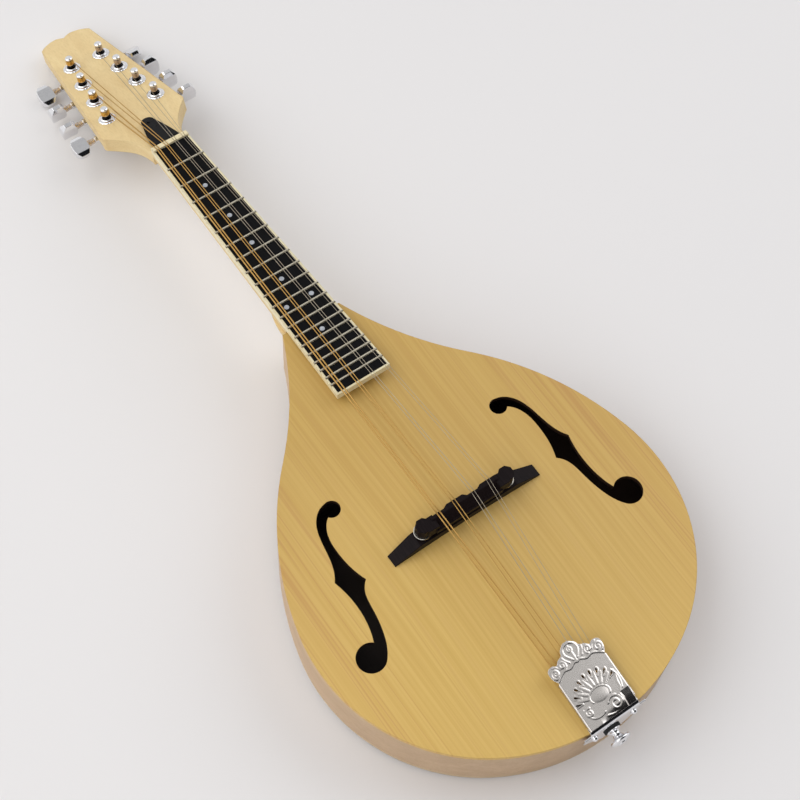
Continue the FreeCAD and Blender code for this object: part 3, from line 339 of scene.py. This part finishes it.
def tuner_metal(name, span, tint, across=None):
    """Chrome with another tint over a span of distances, from the middle plane or from a plane across."""
    paint = Paint(name, 0.08, metallic=1.0)
    x, y, z = paint.split()
    if across:
        origin, normal = across
        height = paint.plus(paint.times(y, normal.y), paint.times(z, normal.z))
        reach = paint.minus(height, origin.dot(normal))
    else:
        reach = paint.size(x)
    zone = paint.math("COMPARE", reach, (span[0] + span[1]) / 2, (span[1] - span[0]) / 2)
    wear = paint.noise(paint.coords, 300.0, 4)
    plate = paint.mix(paint.ramp(wear, (0.4, 0.0), (0.75, 1.0)), CHROME, CHROME_DULL)
    paint.colour(paint.mix(zone, plate, tint))
    paint.rough(paint.ramp(wear, (0.3, 0.05), (0.8, 0.12)))
    paint.bump(wear, 0.04, 0.00005, 0.0005)
    return paint.material


def wound_wire(name, colour, dark, pitch):
    """Fine bands at a pitch along Y, like wire wound on a core; the grooves between turns are painted darker
    as shade, broken up by patchy wear.
    """
    paint = Paint(name, 0.36, metallic=1.0)
    _, y, _ = paint.split()
    turn = paint.math("SINE", paint.times(y, 2 * math.pi / pitch))
    band = paint.ramp(paint.math("MULTIPLY_ADD", turn, 0.5, 0.5), (0.0, 0.0), (0.5, 1.0))
    wear = paint.noise(paint.coords, 400.0, 2)
    # Painted shade in the grooves between turns, mixed with patchy wear.
    paint.colour(paint.mix(paint.times(band, wear), dark, colour))
    paint.rough(paint.ramp(wear, (0.3, 0.40), (0.7, 0.48)))
    paint.bump(band, 0.25, pitch / 6)
    return paint.material


# ------------------------------------------------------------------ materials

top_wood = spruce_top()
head_wood = pale_wood("maple_neck", (0.79, 0.615, 0.32), (0.71, 0.52, 0.25), edge=0.0012)
side_wood = pale_wood("maple_sides", (0.60, 0.425, 0.265), (0.51, 0.345, 0.205), flame=0.2, plate="rib")
back_wood = pale_wood("maple_back", (0.66, 0.50, 0.32), (0.56, 0.40, 0.23), plate="back")
# Painted shade: the linings, blocks and braces inside the body are near black, as shade falls inside it.
inside_shade_wood = pale_wood("painted_shade_inside", (0.035, 0.017, 0.009), (0.02, 0.010, 0.006), roughness=0.8)
ebony = black_wood("ebonised_board", 0.5, (0.0035, 0.0035, 0.004), 0.06, 0.0004)
bridge_black = black_wood("ebonised_bridge", 0.38, (0.006, 0.0038, 0.0042), 0.08, 0.0007)
cream = polymer("cream_binding", (0.80, 0.73, 0.50), (0.72, 0.63, 0.40), 0.32)
bone = polymer("bone_nut", (0.80, 0.71, 0.47), (0.68, 0.57, 0.34), 0.4, 500.0)
pearl = polymer("pearl_dots", (0.50, 0.52, 0.56), (0.32, 0.35, 0.40), 0.25, 700.0, 0.3)
cover_black = polymer("cover_plastic", (0.006, 0.006, 0.007), (0.010, 0.010, 0.011), 0.3, 400.0, shine=0.12)
felt = polymer("black_felt", (0.012, 0.012, 0.012), (0.03, 0.03, 0.03), 0.9, 2500.0)
chrome = metal("chrome_plate", CHROME, 0.06, 300.0, 0.05, 0.0005)
cover_plate = metal("cover_plate", (0.81, 0.765, 0.725), 0.18, 300.0, 0.06, 0.0003)
fret_wire = metal("nickel_silver", (0.78, 0.72, 0.58), 0.26, 1200.0, 0.2)
# Painted reflection: plain steel strings are tinted brown, like the wood they reflect.
steel = metal("plain_steel_reflecting_wood", (0.44, 0.385, 0.30), 0.48, 300.0, 0.12)
nickel = metal("nickel_wheel", (0.72, 0.69, 0.62), 0.22, 900.0, 0.2)
brass = metal("brass_nut", (0.75, 0.56, 0.24), 0.3, 900.0, 0.3)
bronze = wound_wire("bronze_winding", (0.66, 0.42, 0.14), (0.46, 0.27, 0.08), 0.0004)
bronze_turns = wound_wire("bronze_turns", (0.80, 0.47, 0.11), (0.50, 0.26, 0.05), 0.0011)
# Painted reflection: the plain steel turns on the posts are brown, like the wood they reflect.
steel_turns_reflecting_wood = wound_wire("steel_turns_reflecting_wood", (0.62, 0.46, 0.30), (0.40, 0.27, 0.16), 0.0008)
# Painted shade: the posts are dark from the housing up to the lowest turn of string.
head_face = (HEAD.translation, HEAD.to_3x3().col[2])
post_chrome = tuner_metal("post_chrome", (-0.02, 0.0039), POST_SHADE, head_face)

FINISH = {
    "top_wood": top_wood, "back_wood": back_wood, "side_wood": side_wood, "neck_wood": head_wood,
    "inner_wood": inside_shade_wood, "board_wood": ebony, "bridge_wood": bridge_black, "binding": cream,
    "nut_bone": bone, "pearl": pearl, "fret_metal": fret_wire, "steel": steel, "brass_part": brass,
    "cover_black": cover_black, "wound_string": bronze, "plain_string": steel, "felt": felt,
    "wheel_metal": nickel, "chrome_part": chrome,
}
for entry in frame["record"]["subparts"]:
    obj = nodes[entry["node"]]
    obj.data.materials.clear()
    obj.data.materials.append(FINISH[entry["material_slot"]])
nodes["neck_block"].data.materials[0] = head_wood

# Each knob's bar is warmer than its button, as far out from the middle plane as this, in metres.
BAR_REACH = (0.0326, 0.0356, 0.0382, 0.0408)
for word in ("bass", "treble"):
    for number, reach in enumerate(BAR_REACH, start=1):
        knob_metal = tuner_metal("button_%s_%d" % (word, number), (0.0, reach), BAR_TINT)
        nodes["knob_%s_%d" % (word, number)].data.materials[0] = knob_metal
        nodes["post_%s_%d" % (word, number)].data.materials[0] = post_chrome

# ------------------------------------------------------------------ mesh helpers


def linked(name, build):
    """An object in the scene, from a bmesh that is then freed."""
    mesh = bpy.data.meshes.new(name)
    build.to_mesh(mesh)
    build.free()
    obj = bpy.data.objects.new(name, mesh)
    bpy.context.scene.collection.objects.link(obj)
    return obj


def smooth_object(name, build):
    """A smooth object whose faces all look outwards."""
    bmesh.ops.recalc_face_normals(build, faces=build.faces)
    for face in build.faces:
        face.smooth = True
    return linked(name, build)


def mesh_object(name, build, material):
    """A smooth object with its material."""
    obj = smooth_object(name, build)
    obj.data.materials.append(material)
    return obj


def split_corners(obj, angle=32):
    """Sharp edges where two faces meet at more than the angle, in degrees."""
    modifier = obj.modifiers.new("corners", "EDGE_SPLIT")
    modifier.split_angle = math.radians(angle)


def quads_between(build, first, second):
    """Faces that join two closed rings with the same number of corners."""
    for k in range(len(first)):
        n = (k + 1) % len(first)
        build.faces.new((first[k], first[n], second[n], second[k]))


# ------------------------------------------------------------------ strings, in millimetres

STRING_RADII = {"g": 0.50, "d": 0.33, "a": 0.20, "e": 0.16}
COURSES = (("g", -1, False), ("d", -1, True), ("a", 1, True), ("e", 1, False))
CREST_Y = {"g": -359.6, "d": -358.0, "a": -360.2, "e": -358.6}
CREST_Z, SADDLE_SHIFT = 27.0, 1.2
TUNER_PLACES = ((13.0, 141.5), (16.0, 115.7), (18.6, 90.4), (21.2, 64.8))
# From the middle to an inner and an outer pair, and half the gap within a pair.
NUT_PAIRS, NUT_HALF_GAP = (3.6, 10.9), 0.9
SADDLE_PAIRS, SADDLE_HALF_GAP = (7.0, 20.0), 1.1
HOOK_GAP = 4.0
CLEAR = 0.08
NUT_SLOT_Z = 1.15
HOOK_RADIUS, HOOK_Y, HOOK_Z = 0.8, -497.0, 5.0
POST_RADIUS, LOWEST_TURN_Z, TOUCH_Z = 2.3, 3.95, 4.0
# The turns fill this height on the post; their pitch is given in radii of the string.
TURNS_HEIGHT, TURN_PITCH = 3.3, 2.05
TUBE_SIDES, TURN_STEPS, LOOP_STEPS = 10, 24, 20


def tube(name, points, radius, closed=False):
    """Round tube through the points, with caps unless it is closed."""
    build = bmesh.new()
    rings = []
    up = Vector((0.3, 0.2, 1)).normalized()
    count = len(points)
    for i, point in enumerate(points):
        before = points[i - 1] if i or closed else point
        after = points[(i + 1) % count] if i < count - 1 or closed else point
        way = (after - before).normalized()
        across = way.cross(up).normalized()
        up = across.cross(way).normalized()
        ring = []
        for k in range(TUBE_SIDES):
            angle = 2 * math.pi * k / TUBE_SIDES
            outward = across * math.cos(angle) + up * math.sin(angle)
            ring.append(build.verts.new(point + outward * radius))
        rings.append(ring)
    for first, second in zip(rings, rings[1:] + (rings[:1] if closed else [])):
        quads_between(build, first, second)
    if not closed:
        build.faces.new(list(reversed(rings[0])))
        build.faces.new(rings[-1])
    return smooth_object(name, build)


def run(a, b, steps):
    """Evenly spaced points from a to b."""
    return [a.lerp(b, i / steps) for i in range(steps + 1)]


def string_spots(side, inner, member):
    """The string's x at the nut, on the saddle's crest and at its hook."""
    pair = 0 if inner else 1
    nut = NUT_PAIRS[pair] + (NUT_HALF_GAP if member else -NUT_HALF_GAP)
    saddle = SADDLE_PAIRS[pair] + (SADDLE_HALF_GAP if member else -SADDLE_HALF_GAP)
    hook = HOOK_GAP * (0.5 + 2 * pair + member)
    return side * nut, side * saddle + SADDLE_SHIFT, side * hook


def string_pieces(course, side, inner, member):
    """The sounding length, the length behind the saddle, its end loop, and the turns on the post."""
    r = STRING_RADII[course]
    nut_x, saddle_x, hook_x = string_spots(side, inner, member)
    nut = place(NECK, nut_x, 0, NUT_SLOT_Z + r)
    nut_in_head = (HEAD.inverted() @ nut) * 1000
    post_x, post_y = TUNER_PLACES[(0 if inner else 2) + member]
    post_x *= side
    turn_radius = POST_RADIUS + CLEAR + r
    to_nut = Vector((nut_in_head.x - post_x, nut_in_head.y - post_y))
    leave = math.atan2(to_nut.y, to_nut.x) - side * math.acos(turn_radius / to_nut.length)

    def on_post(angle, height):
        return place(HEAD, post_x + turn_radius * math.cos(angle),
                     post_y + turn_radius * math.sin(angle), height)

    touch = on_post(leave, TOUCH_Z + r)
    crest = place(BODY, saddle_x, CREST_Y[course], CREST_Z + r + CLEAR)
    loop_radius = HOOK_RADIUS + CLEAR + r
    end = place(BODY, hook_x, HOOK_Y + loop_radius, HOOK_Z)
    loop_points = []
    for k in range(LOOP_STEPS):
        a = 2 * math.pi * k / LOOP_STEPS
        loop_points.append(place(BODY, hook_x + loop_radius * math.cos(a),
                                 HOOK_Y + loop_radius * math.sin(a), HOOK_Z))
    coil_points = []
    turns = TURNS_HEIGHT / (TURN_PITCH * r)
    for k in range(int(turns * TURN_STEPS) + 1):
        angle = leave - side * 2 * math.pi * k / TURN_STEPS
        coil_points.append(on_post(angle, LOWEST_TURN_Z + r + k / TURN_STEPS * TURN_PITCH * r))
    label = "string_%s%d" % (course, member + 1)
    front = tube(label + "_front", run(touch, nut, 12) + run(nut, crest, 40)[1:], r / 1000)
    rear = tube(label + "_rear", run(crest, end, 20), r / 1000)
    loop = tube(label + "_loop", loop_points, r / 1000, closed=True)
    coil = tube(label + "_turns", coil_points, r / 1000)
    wound = course in "gd"
    coat, turned_coat = (bronze, bronze_turns) if wound else (steel, steel_turns_reflecting_wood)
    for piece in (front, rear, loop, coil):
        piece.data.materials.append(turned_coat if piece is coil else coat)
    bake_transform(front)
    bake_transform(rear)
    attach(loop, "body")
    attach(coil, "body")
    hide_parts("strings_" + course)


for course, side, inner in COURSES:
    for member in (0, 1):
        string_pieces(course, side, inner, member)

# ------------------------------------------------------------------ tuner washers and nuts, in millimetres

LATHE_SIDES = 72
SCALLOPS = 12


def lathe(build, frame_matrix, x, y, rings):
    """Closed ring of section rings around an axis; each ring is (height, radius for each angle)."""
    loops = []
    for height, radius_at in rings:
        loop = []
        for k in range(LATHE_SIDES):
            a = 2 * math.pi * k / LATHE_SIDES
            r = radius_at(a)
            spot = place(frame_matrix, x + r * math.cos(a), y + r * math.sin(a), height)
            loop.append(build.verts.new(spot))
        loops.append(loop)
    for first, second in zip(loops, loops[1:] + loops[:1]):
        quads_between(build, first, second)


def round_ring(radius):
    return lambda angle: radius


def scalloped(radius, depth):
    return lambda angle: radius - depth * (1 - abs(math.cos(angle * SCALLOPS / 2))) ** 2


def hexagon(radius, blend):
    """Radius of a hexagon, softened towards a circle as blend goes from 0 to 1."""
    def at(angle):
        turn = (angle + math.pi / 6) % (math.pi / 3) - math.pi / 6
        flat = radius * math.cos(math.pi / 6) / math.cos(turn - math.copysign(math.pi / 6, turn))
        return flat * (1 - blend) + radius * 0.87 * blend
    return at


WASHER_RINGS = (
    (0.02, round_ring(4.05)), (0.02, scalloped(6.9, 0.35)), (0.2, scalloped(7.1, 0.4)),
    (0.42, scalloped(7.0, 0.4)), (0.66, scalloped(6.6, 0.35)), (0.84, scalloped(6.1, 0.15)),
    (0.96, round_ring(5.4)), (0.97, round_ring(4.05)),
)
BUSHING_RINGS = (
    (-11.0, round_ring(3.06)), (-11.0, round_ring(3.9)), (0.95, round_ring(3.9)),
    (0.98, round_ring(5.0)), (1.1, round_ring(4.95)), (1.3, hexagon(5.1, 0.6)),
    (1.55, hexagon(4.8, 0.8)), (1.7, round_ring(3.95)), (1.7, round_ring(3.6)),
    (1.4, round_ring(3.45)), (-1.5, round_ring(3.4)), (-2.0, round_ring(3.06)),
)


def ferrules():
    """Scalloped dome washers and low rounded nuts round the eight posts."""
    washers = bmesh.new()
    nuts = bmesh.new()
    for x, y in TUNER_PLACES:
        for side in (-1, 1):
            lathe(washers, HEAD, side * x, y, WASHER_RINGS)
            lathe(nuts, HEAD, side * x, y, BUSHING_RINGS)
    washer = mesh_object("ferrule_washers", washers, chrome)
    nut = mesh_object("ferrule_nuts", nuts, chrome)
    for obj, node in ((washer, "tuner_washers"), (nut, "tuner_bushings")):
        split_corners(obj, 50)
        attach(obj, "body")
        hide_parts(node)


ferrules()

# ------------------------------------------------------------------ embossed tailpiece cover, in millimetres

COVER_HALF = 18.9
SIDE_START, SIDE_END = 3.6, 34.0
FLANGE_TOP, FLANGE_FOOT = 0.25, -3.2
SIDE_SHEET, COVER_SHEET = 0.8, 0.6
CROWN = [(17.9, 35.2), (20.1, 39.0), (20.4, 43.4), (18.7, 45.7), (15.6, 46.2), (13.0, 45.0), (10.4, 47.1),
         (7.1, 48.5), (5.6, 51.4), (2.0, 54.1), (0.0, 54.3)]
GRID_STEP, GRID_HALF, GRID_END = 0.28, 21.0, 54.6
# The slots fan out round this y, at angles in degrees.
FAN_CENTRE, FAN_FIRST, FAN_STEP, SLOT_COUNT = 14.0, 168, 17, 9
BOSS_U, BOSS_V = -0.3, 15.9
RELIEF, SLOT_LIP = 0.2, 0.08
SUNK_END, SUNK_DEPTH = 6.0, 1.1
CORNER_U, CORNER_V, CORNER_SLOPE = 11.2, 10.5, 0.15
ROLL_RADIUS = 1.1
MIRROR = np.array([-1, 1])
CURVE_STEPS, SPIRAL_STEPS = 10, 60


def smooth_through(points):
    """Catmull-Rom curve through the points."""
    points = [np.array(p, float) for p in points]
    padded = [2 * points[0] - points[1]] + points + [2 * points[-1] - points[-2]]
    curve = []
    for a, b, c, d in zip(padded, padded[1:], padded[2:], padded[3:]):
        for i in range(CURVE_STEPS):
            t = i / CURVE_STEPS
            curve.append(0.5 * (2 * b + (c - a) * t + (2 * a - 5 * b + 4 * c - d) * t * t
                                + (3 * b - a - 3 * c + d) * t ** 3))
    return np.array(curve + [points[-1]])


def spiral(x, y, outer, inner, turns, start, way=1):
    k = np.linspace(0, 1, SPIRAL_STEPS)
    r = outer + (inner - outer) * k
    a = math.radians(start) + way * 2 * math.pi * turns * k
    return np.stack([x + r * np.cos(a), y + r * np.sin(a)], 1)


def inside(px, py, loop):
    """Which points lie in the closed loop."""
    found = np.zeros(px.shape, bool)
    for (xa, ya), (xb, yb) in zip(loop, np.roll(loop, -1, 0)):
        if ya == yb:
            continue
        crosses = (ya > py) != (yb > py)
        found ^= crosses & (px < (xb - xa) * (py - ya) / (yb - ya) + xa)
    return found


def distance_to(px, py, path):
    """Distance from each point to an open path, and the nearest spot on it."""
    best = np.full(px.shape, 1e9)
    spot = np.zeros(px.shape + (2,))
    for (xa, ya), (xb, yb) in zip(path, path[1:]):
        dx, dy = xb - xa, yb - ya
        length = dx * dx + dy * dy
        if length < 1e-9:
            continue
        t = np.clip(((px - xa) * dx + (py - ya) * dy) / length, 0, 1)
        qx, qy = xa + t * dx, ya + t * dy
        gap = np.hypot(px - qx, py - qy)
        nearer = gap < best
        best = np.where(nearer, gap, best)
        spot[nearer] = np.stack([qx, qy], -1)[nearer]
    return best, spot


def closed_path(loop):
    return np.vstack([loop, loop[:1]])


def cover_ornament():
    """Raised lines of a generic scroll pattern: (path, half width, height)."""
    halves = [
        (spiral(16.6, 41.0, 3.3, 0.5, 1.6, -110), 0.75, 0.8),
        (spiral(10.0, 43.2, 2.7, 0.5, 1.4, 250, -1), 0.65, 0.75),
        (smooth_through([(17.4, 36.0), (14.0, 38.2), (10.6, 39.6), (6.2, 38.9), (2.4, 40.6), (0.0, 40.2)]),
         0.6, 0.7),
        (smooth_through([(1.6, 42.4), (3.6, 45.0), (5.0, 47.6), (4.6, 50.6), (2.4, 52.6), (0.0, 53.0)]),
         0.65, 0.8),
        (smooth_through([(4.9, 42.2), (6.8, 44.8), (7.6, 47.0)]), 0.55, 0.6),
        (smooth_through([(12.4, 42.0), (14.2, 44.2), (16.6, 45.2)]), 0.5, 0.5),
    ]
    strokes = halves + [(path * MIRROR, width, height) for path, width, height in halves]
    strokes += [
        (smooth_through([(0, 41.4), (0, 44.0), (0, 47.0)]), 0.8, 0.7),
        (spiral(0, 49.2, 2.2, 0.4, 1.3, 90), 0.6, 0.7),
        (spiral(5.6, 6.2, 5.4, 0.9, 1.7, 150, -1), 0.8, 0.8),
        (smooth_through([(-3.6, 2.4), (2.0, 1.0), (8.2, 1.6), (11.6, 5.4), (10.8, 9.2), (12.2, 11.4)]),
         0.6, 0.7),
        (smooth_through([(15.4, 20.4), (14.0, 16.6), (13.6, 13.0), (11.6, 10.4), (9.4, 10.0)]), 0.7, 0.75),
        (smooth_through([(14.6, 24.6), (16.2, 20.6), (15.8, 15.8), (14.4, 12.2)]), 0.55, 0.6),
        (spiral(-12.6, 10.0, 3.0, 0.5, 1.4, 60), 0.65, 0.65),
        (smooth_through([(-15.2, 13.2), (-13.0, 6.4), (-8.0, 4.4), (-3.6, 5.4)]), 0.5, 0.5),
    ]
    shell = [(7.3 * math.cos(a) + BOSS_U, 4.9 * math.sin(a) + BOSS_V) for a in np.linspace(-0.5, 3.6, 40)]
    strokes.append((np.array(shell), 0.5, 0.6))
    for k in range(SLOT_COUNT - 1):
        a = math.radians(FAN_FIRST - FAN_STEP * (k + 0.5))
        ray = [(r * math.cos(a), FAN_CENTRE + r * math.sin(a)) for r in (8.8, 15.4)]
        strokes.append((np.array(ray), 0.85, 0.55))
    return strokes


def cover_slots():
    """Teardrop slots in a fan, each a closed loop."""
    half = [(13.4, 0.0), (15.2, 0.42), (16.6, 0.78), (17.6, 0.70), (18.2, 0.0)]
    points = half + [(r, -w) for r, w in reversed(half[1:-1])]
    loops = []
    for k in range(SLOT_COUNT):
        a = math.radians(FAN_FIRST - FAN_STEP * k)
        along = np.array([math.cos(a), math.sin(a)])
        across = np.array([-math.sin(a), math.cos(a)])
        loops.append(np.array([np.array([0, FAN_CENTRE]) + along * r + across * w for r, w in points]))
    return loops


def cover_height(u, v):
    """Top surface of the pressed sheet: ornament, oval boss, slot rims, sunk end and rolled sides."""
    height = np.ones(u.shape)
    for path, width, rise in cover_ornament():
        gap, _ = distance_to(u, v, path)
        round_top = np.sqrt(np.clip(1 - (gap / (1.2 * width)) ** 2, 0, 1))
        height = np.maximum(height, 1 + RELIEF * rise * round_top)
    oval = ((u - BOSS_U) / 6.8) ** 2 + ((v - BOSS_V) / 4.4) ** 2
    height = np.maximum(height, 1 + RELIEF * np.clip(1 - oval, 0, 1) ** 0.8)
    for loop in cover_slots():
        gap, _ = distance_to(u, v, closed_path(loop))
        height += SLOT_LIP * np.clip(1 - (gap - 0.3) ** 2 / 0.5, 0, 1)
    height -= SUNK_DEPTH * (np.clip(SUNK_END - v, 0, None) / SUNK_END) ** 2 * np.clip((u + 9) / 12, 0, 1)
    height -= CORNER_SLOPE * np.clip((u - CORNER_U) / 0.8, 0, 1) * np.clip(CORNER_V - v, 0, None)
    rim = np.clip((np.abs(u) - COVER_HALF + ROLL_RADIUS) / ROLL_RADIUS, 0, 1)
    rolled = 1 - np.sqrt(np.clip(1 - rim ** 2, 0, 1))
    return height - rolled * (v < SIDE_END + 0.6)


def cover_grid():
    """Grid spots with those on a border moved onto the outlines, kept cells, and kept cells at each spot."""
    half = np.vstack([[(COVER_HALF, 0.0), (COVER_HALF, SIDE_END)], smooth_through(CROWN)])
    outline = np.vstack([half, (half * MIRROR)[::-1][1:]])
    slots = cover_slots()
    us = np.arange(-GRID_HALF, GRID_HALF + GRID_STEP / 2, GRID_STEP)
    vs = np.arange(-GRID_STEP / 2, GRID_END, GRID_STEP)
    u, v = np.meshgrid(us, vs, indexing="ij")
    mid_u, mid_v = u[:-1, :-1] + GRID_STEP / 2, v[:-1, :-1] + GRID_STEP / 2
    keep = inside(mid_u, mid_v, outline)
    for loop in slots:
        keep &= ~inside(mid_u, mid_v, loop)
    uses = np.zeros(u.shape, int)
    for i, j in ((0, 0), (1, 0), (0, 1), (1, 1)):
        uses[i:i + keep.shape[0], j:j + keep.shape[1]] += keep
    rim = (uses > 0) & (uses < 4)
    gap, spot = distance_to(u[rim], v[rim], closed_path(outline))
    for loop in slots:
        near, other = distance_to(u[rim], v[rim], closed_path(loop))
        nearer = near < gap
        gap = np.where(nearer, near, gap)
        spot[nearer] = other[nearer]
    u[rim], v[rim] = spot[:, 0], spot[:, 1]
    return u, v, keep, uses


def tail_cover():
    """The pressed sheet with its slots, and the two flanges that grip the bracket."""
    u, v, keep, uses = cover_grid()
    top = cover_height(u, v)
    build = bmesh.new()
    upper, lower = {}, {}
    for i, j in zip(*np.nonzero(uses)):
        upper[i, j] = build.verts.new(place(COVER, u[i, j], v[i, j], top[i, j]))
        lower[i, j] = build.verts.new(place(COVER, u[i, j], v[i, j], top[i, j] - COVER_SHEET))
    kept = set(zip(*np.nonzero(keep)))
    for i, j in kept:
        ring = ((i, j), (i + 1, j), (i + 1, j + 1), (i, j + 1))
        build.faces.new([upper[k] for k in ring])
        build.faces.new([lower[k] for k in reversed(ring)])
        for a, b, beside in ((ring[0], ring[1], (i, j - 1)), (ring[1], ring[2], (i + 1, j)),
                             (ring[2], ring[3], (i, j + 1)), (ring[3], ring[0], (i - 1, j))):
            if beside not in kept:
                build.faces.new((upper[b], upper[a], lower[a], lower[b]))
    for sign in (-1, 1):
        outer, inner = sign * COVER_HALF, sign * (COVER_HALF - SIDE_SHEET)
        foot = ((outer, SIDE_START), (outer, SIDE_END), (inner, SIDE_END), (inner, SIDE_START))
        corners = [build.verts.new(place(COVER, x, y, z)) for z in (FLANGE_TOP, FLANGE_FOOT) for x, y in foot]
        for ring in ((0, 1, 2, 3), (7, 6, 5, 4), (0, 4, 5, 1), (1, 5, 6, 2), (2, 6, 7, 3), (3, 7, 4, 0)):
            build.faces.new([corners[k] for k in ring])
    obj = mesh_object("embossed_cover", build, cover_plate)
    split_corners(obj, 60)
    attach(obj, "tail_cover")
    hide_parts("tailpiece_cover")


tail_cover()

# ------------------------------------------------------------------ shading of the CAD nodes

for obj in nodes.values():
    for polygon in obj.data.polygons:
        polygon.use_smooth = True
    split_corners(obj)

# ------------------------------------------------------------------ stage, lights and camera

# Each light: name, place, aim, length of its edges in metres, watts and tint.
LIGHTS = (
    ("key", (-1.0, 0.9, 1.6), (0, 0, 0), 2.2, 20, (1.0, 0.99, 0.97)),
    ("fill", (1.5, -0.3, 1.5), (0.1, -0.1, 0), 1.6, 11, (0.97, 0.98, 1.0)),
    ("near", (-1.1, -1.2, 1.5), (-0.05, -0.2, 0), 1.4, 8, (1.0, 0.985, 0.97)),
)
DARK_SIDE = ((0.25, -0.80, 0.55), ((0.76, 0.0), (0.88, 1.0)))
CEILING = ((0.0, 0.0, 1.0), ((0.1, 0.95), (0.95, 0.52)))
DARK_COLOUR = (0.012, 0.012, 0.013, 1)
ROOM_STRENGTH = 0.95
CAMERA_PLACE = (-0.31381, -0.5427054, 1.06449)
CAMERA_TURN = (29.1391, -0.6305, -34.9613)
CAMERA_LENS, CAMERA_WIDTH = 76.625, 36.0


def floor():
    """A large sheet of nearly white paper."""
    build = bmesh.new()
    bmesh.ops.create_grid(build, x_segments=4, y_segments=4, size=6.0)
    obj = linked("floor", build)
    paint = Paint("floor_paper", 0.75)
    shade = paint.noise(paint.coords, 2.0, 2)
    paint.colour(paint.mix(shade, (0.80, 0.785, 0.79), (0.785, 0.77, 0.775)))
    obj.data.materials.append(paint.material)


def soft_light(name, place_at, aim, edge, power, tint):
    """A square area light that looks at its aim."""
    data = bpy.data.lights.new(name, "AREA")
    data.shape = "RECTANGLE"
    data.size = data.size_y = edge
    data.energy = power
    data.color = tint
    obj = bpy.data.objects.new(name, data)
    bpy.context.scene.collection.objects.link(obj)
    obj.location = place_at
    obj.rotation_euler = (Vector(aim) - Vector(place_at)).to_track_quat("-Z", "Y").to_euler()


def studio():
    """Bright room with a dark side behind the camera and a greyer ceiling."""
    world = bpy.data.worlds.new("studio")
    world.use_nodes = True
    tree = world.node_tree
    coords = tree.nodes.new("ShaderNodeTexCoord").outputs["Generated"]
    levels = []
    for direction, stops in (DARK_SIDE, CEILING):
        dot = tree.nodes.new("ShaderNodeVectorMath")
        dot.operation = "DOT_PRODUCT"
        tree.links.new(coords, dot.inputs[0])
        dot.inputs[1].default_value = direction
        ramp = tree.nodes.new("ShaderNodeValToRGB")
        tree.links.new(dot.outputs["Value"], ramp.inputs[0])
        for point, (position, level) in zip(ramp.color_ramp.elements, stops):
            point.position = position
            point.color = (level, level, level, 1)
        levels.append(ramp.outputs["Color"])
    amount, bright, dark, blended = colour_mix(tree)
    tree.links.new(levels[0], amount)
    tree.links.new(levels[1], bright)
    dark.default_value = DARK_COLOUR
    background = tree.nodes["Background"]
    tree.links.new(blended, background.inputs["Color"])
    background.inputs["Strength"].default_value = ROOM_STRENGTH
    bpy.context.scene.world = world


floor()
for light in LIGHTS:
    soft_light(*light)
studio()
bpy.context.scene.view_settings.view_transform = "Standard"

camera_data = bpy.data.cameras.new("camera")
camera_data.sensor_width = CAMERA_WIDTH
camera_data.lens = CAMERA_LENS
camera = bpy.data.objects.new("camera", camera_data)
bpy.context.scene.collection.objects.link(camera)
camera.location = CAMERA_PLACE
camera.rotation_euler = [math.radians(a) for a in CAMERA_TURN]
bpy.context.scene.camera = camera
